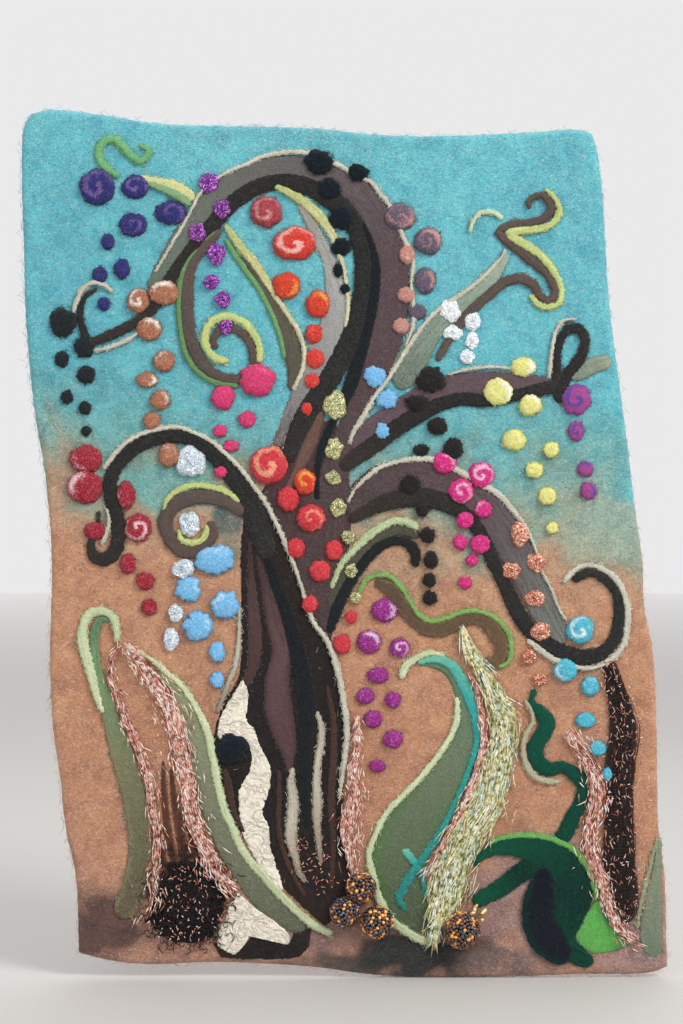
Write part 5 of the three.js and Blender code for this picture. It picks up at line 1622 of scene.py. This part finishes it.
def make_bundles():
    """Copper and gold fibres, and the short lengths and painted glints over them."""
    # The copper foils are one copper in three tones: the dark one is painted shade and the pale rose one
    # is painted highlight.
    copper = [
        foil("foil_copper", (212, 118, 94), (255, 206, 186), depth=0.6),
        foil("foil_copper_painted_shade", (160, 82, 66), (236, 160, 136), depth=0.6),
        foil("foil_copper_painted_glint", (250, 192, 174), (255, 244, 238), depth=0.78),
    ]
    # These bundles leave out the dark copy, so they carry more painted highlight.
    bright = [copper[0], copper[2]]
    bundle("copper_left", copper, "fibre_copper", COPPER_LEFT, 30, ["copper_bundle_left"])
    bundle("copper_inner", bright, "fibre_copper", COPPER_INNER, 72, ["copper_bundle_inner"])
    bundle("copper_trunk", bright, "fibre_copper", COPPER_TRUNK, 40, ["copper_bundle_trunk"],
        stray=3.5)
    bundle("copper_right", copper, "fibre_copper", COPPER_RIGHT, 42, ["copper_bundle_right"])
    bundle("copper_middle", bright, "fibre_copper", COPPER_MIDDLE, 30)
    gold = [
        foil("foil_gold", (232, 212, 134), (255, 250, 214), depth=0.7),
        foil("foil_gold_green", (186, 202, 124), (244, 252, 204), depth=0.66),
        foil("foil_gold_blue", (176, 216, 208), (240, 255, 255), depth=0.75),
    ]
    bundle("gold", gold, "fibre_gold", GOLD_ROUTE, 132, ["gold_bundle"], stray=2.4, radius=0.18)
    # Painted highlights: near-white, non-metallic foils whose short lengths are the glints on the copper
    # and the gold.
    painted_glint_foil = foil("foil_painted_glint", (255, 208, 190), (255, 250, 242), 0.3, 0.0)
    light = foil("foil_gold_painted_glint", (255, 247, 200), (255, 255, 244), 0.3, 0.0)
    for name, route, count in (
        ("left", COPPER_LEFT, 150), ("inner", COPPER_INNER, 520), ("trunk", COPPER_TRUNK, 190),
        ("right", COPPER_RIGHT, 300), ("middle", COPPER_MIDDLE, 90),
    ):
        dashes(f"copper_lengths_{name}", copper[0], "fibre_copper", route, count // 2)
        dashes(f"copper_glints_{name}", painted_glint_foil, "fibre_copper", route, count)
    # the last of these are painted glints on the gold
    for name, material, count in (
        ("straw", gold[0], 480), ("green", gold[1], 240), ("blue", gold[2], 190), ("glints", light, 460),
    ):
        dashes(f"gold_{name}", material, "fibre_gold", GOLD_ROUTE, count, 0.6, (4, 13), (2.0, 3.4),
            0.2, (0.15, 0.28))
    dashes("trunk_flecks", copper[0], "fibre_copper",
        [(-24, -150, 10), (-14, -160, 16), (-8, -172, 14)], 70, reach=(1, 2.5), level=(1.4, 2.4),
        turn=1.5)
    make_mesh_strip(copper, painted_glint_foil)
    make_fluff(copper, painted_glint_foil)


MESH_ROUTE = [
    (131, -57, 7), (135, -71, 10), (138, -84, 13), (139, -93, 14), (138, -105, 15), (137, -119, 15),
    (137, -133, 15), (137, -145, 16), (137, -158, 17), (138, -172, 18), (140, -182, 14), (141, -189, 5),
]
THREAD_SPACING = 1.7
THREAD_RADIUS = 0.14
THREAD_POINTS = 7


def make_mesh_strip(copper, painted_glint_foil):
    """A strip of fine black net: threads along and across it, over dark wool."""
    strand("black_mesh_ground", flat_wool("mesh_ground", (40, 31, 29), edge=(96, 62, 52)),
        "wool_black", BAND, MESH_ROUTE, replaces=["black_mesh_strip"], widen=0.95)
    net = plain_fibre("net_thread", (42, 33, 31))
    bundle("black_mesh_threads", [net], "mesh_black", MESH_ROUTE, 52, stray=0.8, lift=1.3, rise=0.7,
        radius=THREAD_RADIUS)
    points = smooth(MESH_ROUTE, THREAD_SPACING)
    heading = tangents(points)
    cross = Piece()
    for spot, along in zip(points[1:-1], heading[1:-1]):
        half = spot[2] / 2 * 0.95
        path = []
        for k in range(THREAD_POINTS):
            v = k / 3 - 1
            offset = half * v
            slant = 0.6 * perlin(spot[1] * 0.4, k * 0.8, 4)
            height = 1.6 + 0.7 * math.sqrt(max(0, 1 - v ** 2)) + 0.2 * perlin(spot[1], k, 2)
            path.append((
                spot[0] - along[1] * offset + along[0] * slant, height,
                spot[1] + along[0] * offset + along[1] * slant,
            ))
        add_fibre(cross, path, THREAD_RADIUS)
    cross.finish("black_mesh_cross_threads", net, "mesh_black")
    dashes("mesh_copper", copper[0], "fibre_copper", MESH_ROUTE, 300, 1.0, (1, 4), (1.8, 2.8), 0.7,
        (0.12, 0.22))
    # painted glints on the net
    dashes("mesh_glints", painted_glint_foil, "fibre_copper", MESH_ROUTE, 130, 1.0, (0.8, 2.2), (2.2, 3.0), 0.9,
        (0.14, 0.26))


FLUFF_CENTRE = (-79, -178)
FLUFF_SPREAD = (9.5, 10.5)
FLUFF_CURLS = 1500
FLUFF_LEFT_END, FLUFF_RIGHT_END = -104, -54
FLUFF_FOOT, FLUFF_TOP = -202, -146
STREAKS = [
    [(-84, -162, 3), (-88, -146, 3), (-90, -128, 2.5), (-91, -108, 1)],
    [(-79, -162, 4), (-82, -146, 3.5), (-85, -130, 2.5), (-87, -112, 1)],
    [(-75, -160, 3), (-76, -148, 3), (-80, -136, 2), (-82, -124, 1)],
    [(-88, -168, 2), (-91, -154, 2), (-93, -138, 1)],
    [(-71, -160, 2), (-70, -152, 2), (-73, -142, 1)],
]


def make_fluff(copper, painted_glint_foil):
    """Curly black fibres with copper flecks, and dark streaks that rise from them."""
    black = plain_fibre("fluff_black", (24, 19, 19))
    tuft = Piece()
    for _ in range(FLUFF_CURLS):
        x, z = (RNG.gauss(middle, spread) for middle, spread in zip(FLUFF_CENTRE, FLUFF_SPREAD))
        if not (FLUFF_LEFT_END < x < FLUFF_RIGHT_END and FLUFF_FOOT < z < FLUFF_TOP):
            continue
        angle = RNG.uniform(0, 2 * math.pi)
        bend = RNG.choice((-1, 1)) * RNG.uniform(0.2, 0.9)
        height = RNG.uniform(0.8, 2.4)
        heights = [height + 0.4 * math.sin(k * 1.3) for k in range(6)]
        add_fibre(tuft, walk(x, z, angle, 1.0, heights, [bend] * 6), RNG.uniform(0.14, 0.26))
    tuft.finish("black_fluff_curls", black, "wool_black")
    core = [(-80, -160, 22), (-79, -178, 30), (-79, -196, 24)]
    dashes("fluff_flecks", copper[0], "fibre_copper", core, 110, 0.8, (1, 3), (1.8, 3.0), 0.7)
    # painted glints among the copper flecks
    dashes("fluff_glints", painted_glint_foil, "fibre_copper", core, 50, 0.8, (0.8, 2), (2.2, 3.2), 0.7)
    strand("dark_streaks", flat_wool("wool_streaks", (88, 56, 44), edge=(150, 102, 76), speck=0.4),
        "wool_dark_brown", PATCH, *STREAKS, widen=1.5)


def make_beads():
    """The four beaded balls, and the bugle beads by the last."""
    kinds = {
        "black": beads("beads_black", (14, 12, 15), (70, 60, 62)),
        "brown": beads("beads_brown", (58, 32, 20), (120, 70, 36)),
        "amber": beads("beads_amber", (172, 90, 40), (240, 168, 96)),
        "blue": beads("beads_blue", (24, 32, 52), (90, 112, 150)),
    }
    glass = [Piece() for _ in kinds]
    core = flat_wool("ball_core", (40, 28, 22))
    make_ball("beaded_ball_1", 8, -171, 15, core, glass, (4, 4, 3, 0))
    make_ball("beaded_ball_2", 0, -183, 15, core, glass, (5, 3, 2, 2))
    make_ball("beaded_ball_3", 16, -188, 16, core, glass, (5, 3, 2, 1))
    make_ball("beaded_ball_4", 58, -192, 18, core, glass, (4, 5, 2, 0))
    for (name, material), piece in zip(kinds.items(), glass):
        piece.finish(f"seed_beads_{name}", material, "glass_beads")
    bugles = Piece()
    for x, z, angle in ((63, -184, 0.5), (67, -187, 0.1), (65, -181, 1.2), (69, -183, 0.8)):
        hole = Vector((math.cos(angle), 0, math.sin(angle)))
        add_bead(bugles, Vector((x, 3.0, z)), hole, 0.9, 2.4)
    bugles.finish("bugle_beads", foil("bugle_gold", (200, 160, 70), (255, 236, 170), 0.15),
        "fibre_gold")


def main():
    make_camera()
    make_lights()
    make_world()
    make_floor()
    make_sheet()
    make_sheet_fuzz()
    make_patches()
    make_bands()
    make_trunk_strands()
    make_limbs()
    make_leaves()
    make_edges()
    make_coloured_lines()
    make_dots()
    make_bundles()
    make_beads()
    for name, (rgb, slot) in WISP_COLOURS.items():
        WISPS[name].piece.finish(f"wisps_{name}", plain_fibre(f"wisp_{name}", rgb, Sheen_Weight=0.3), slot)


main()
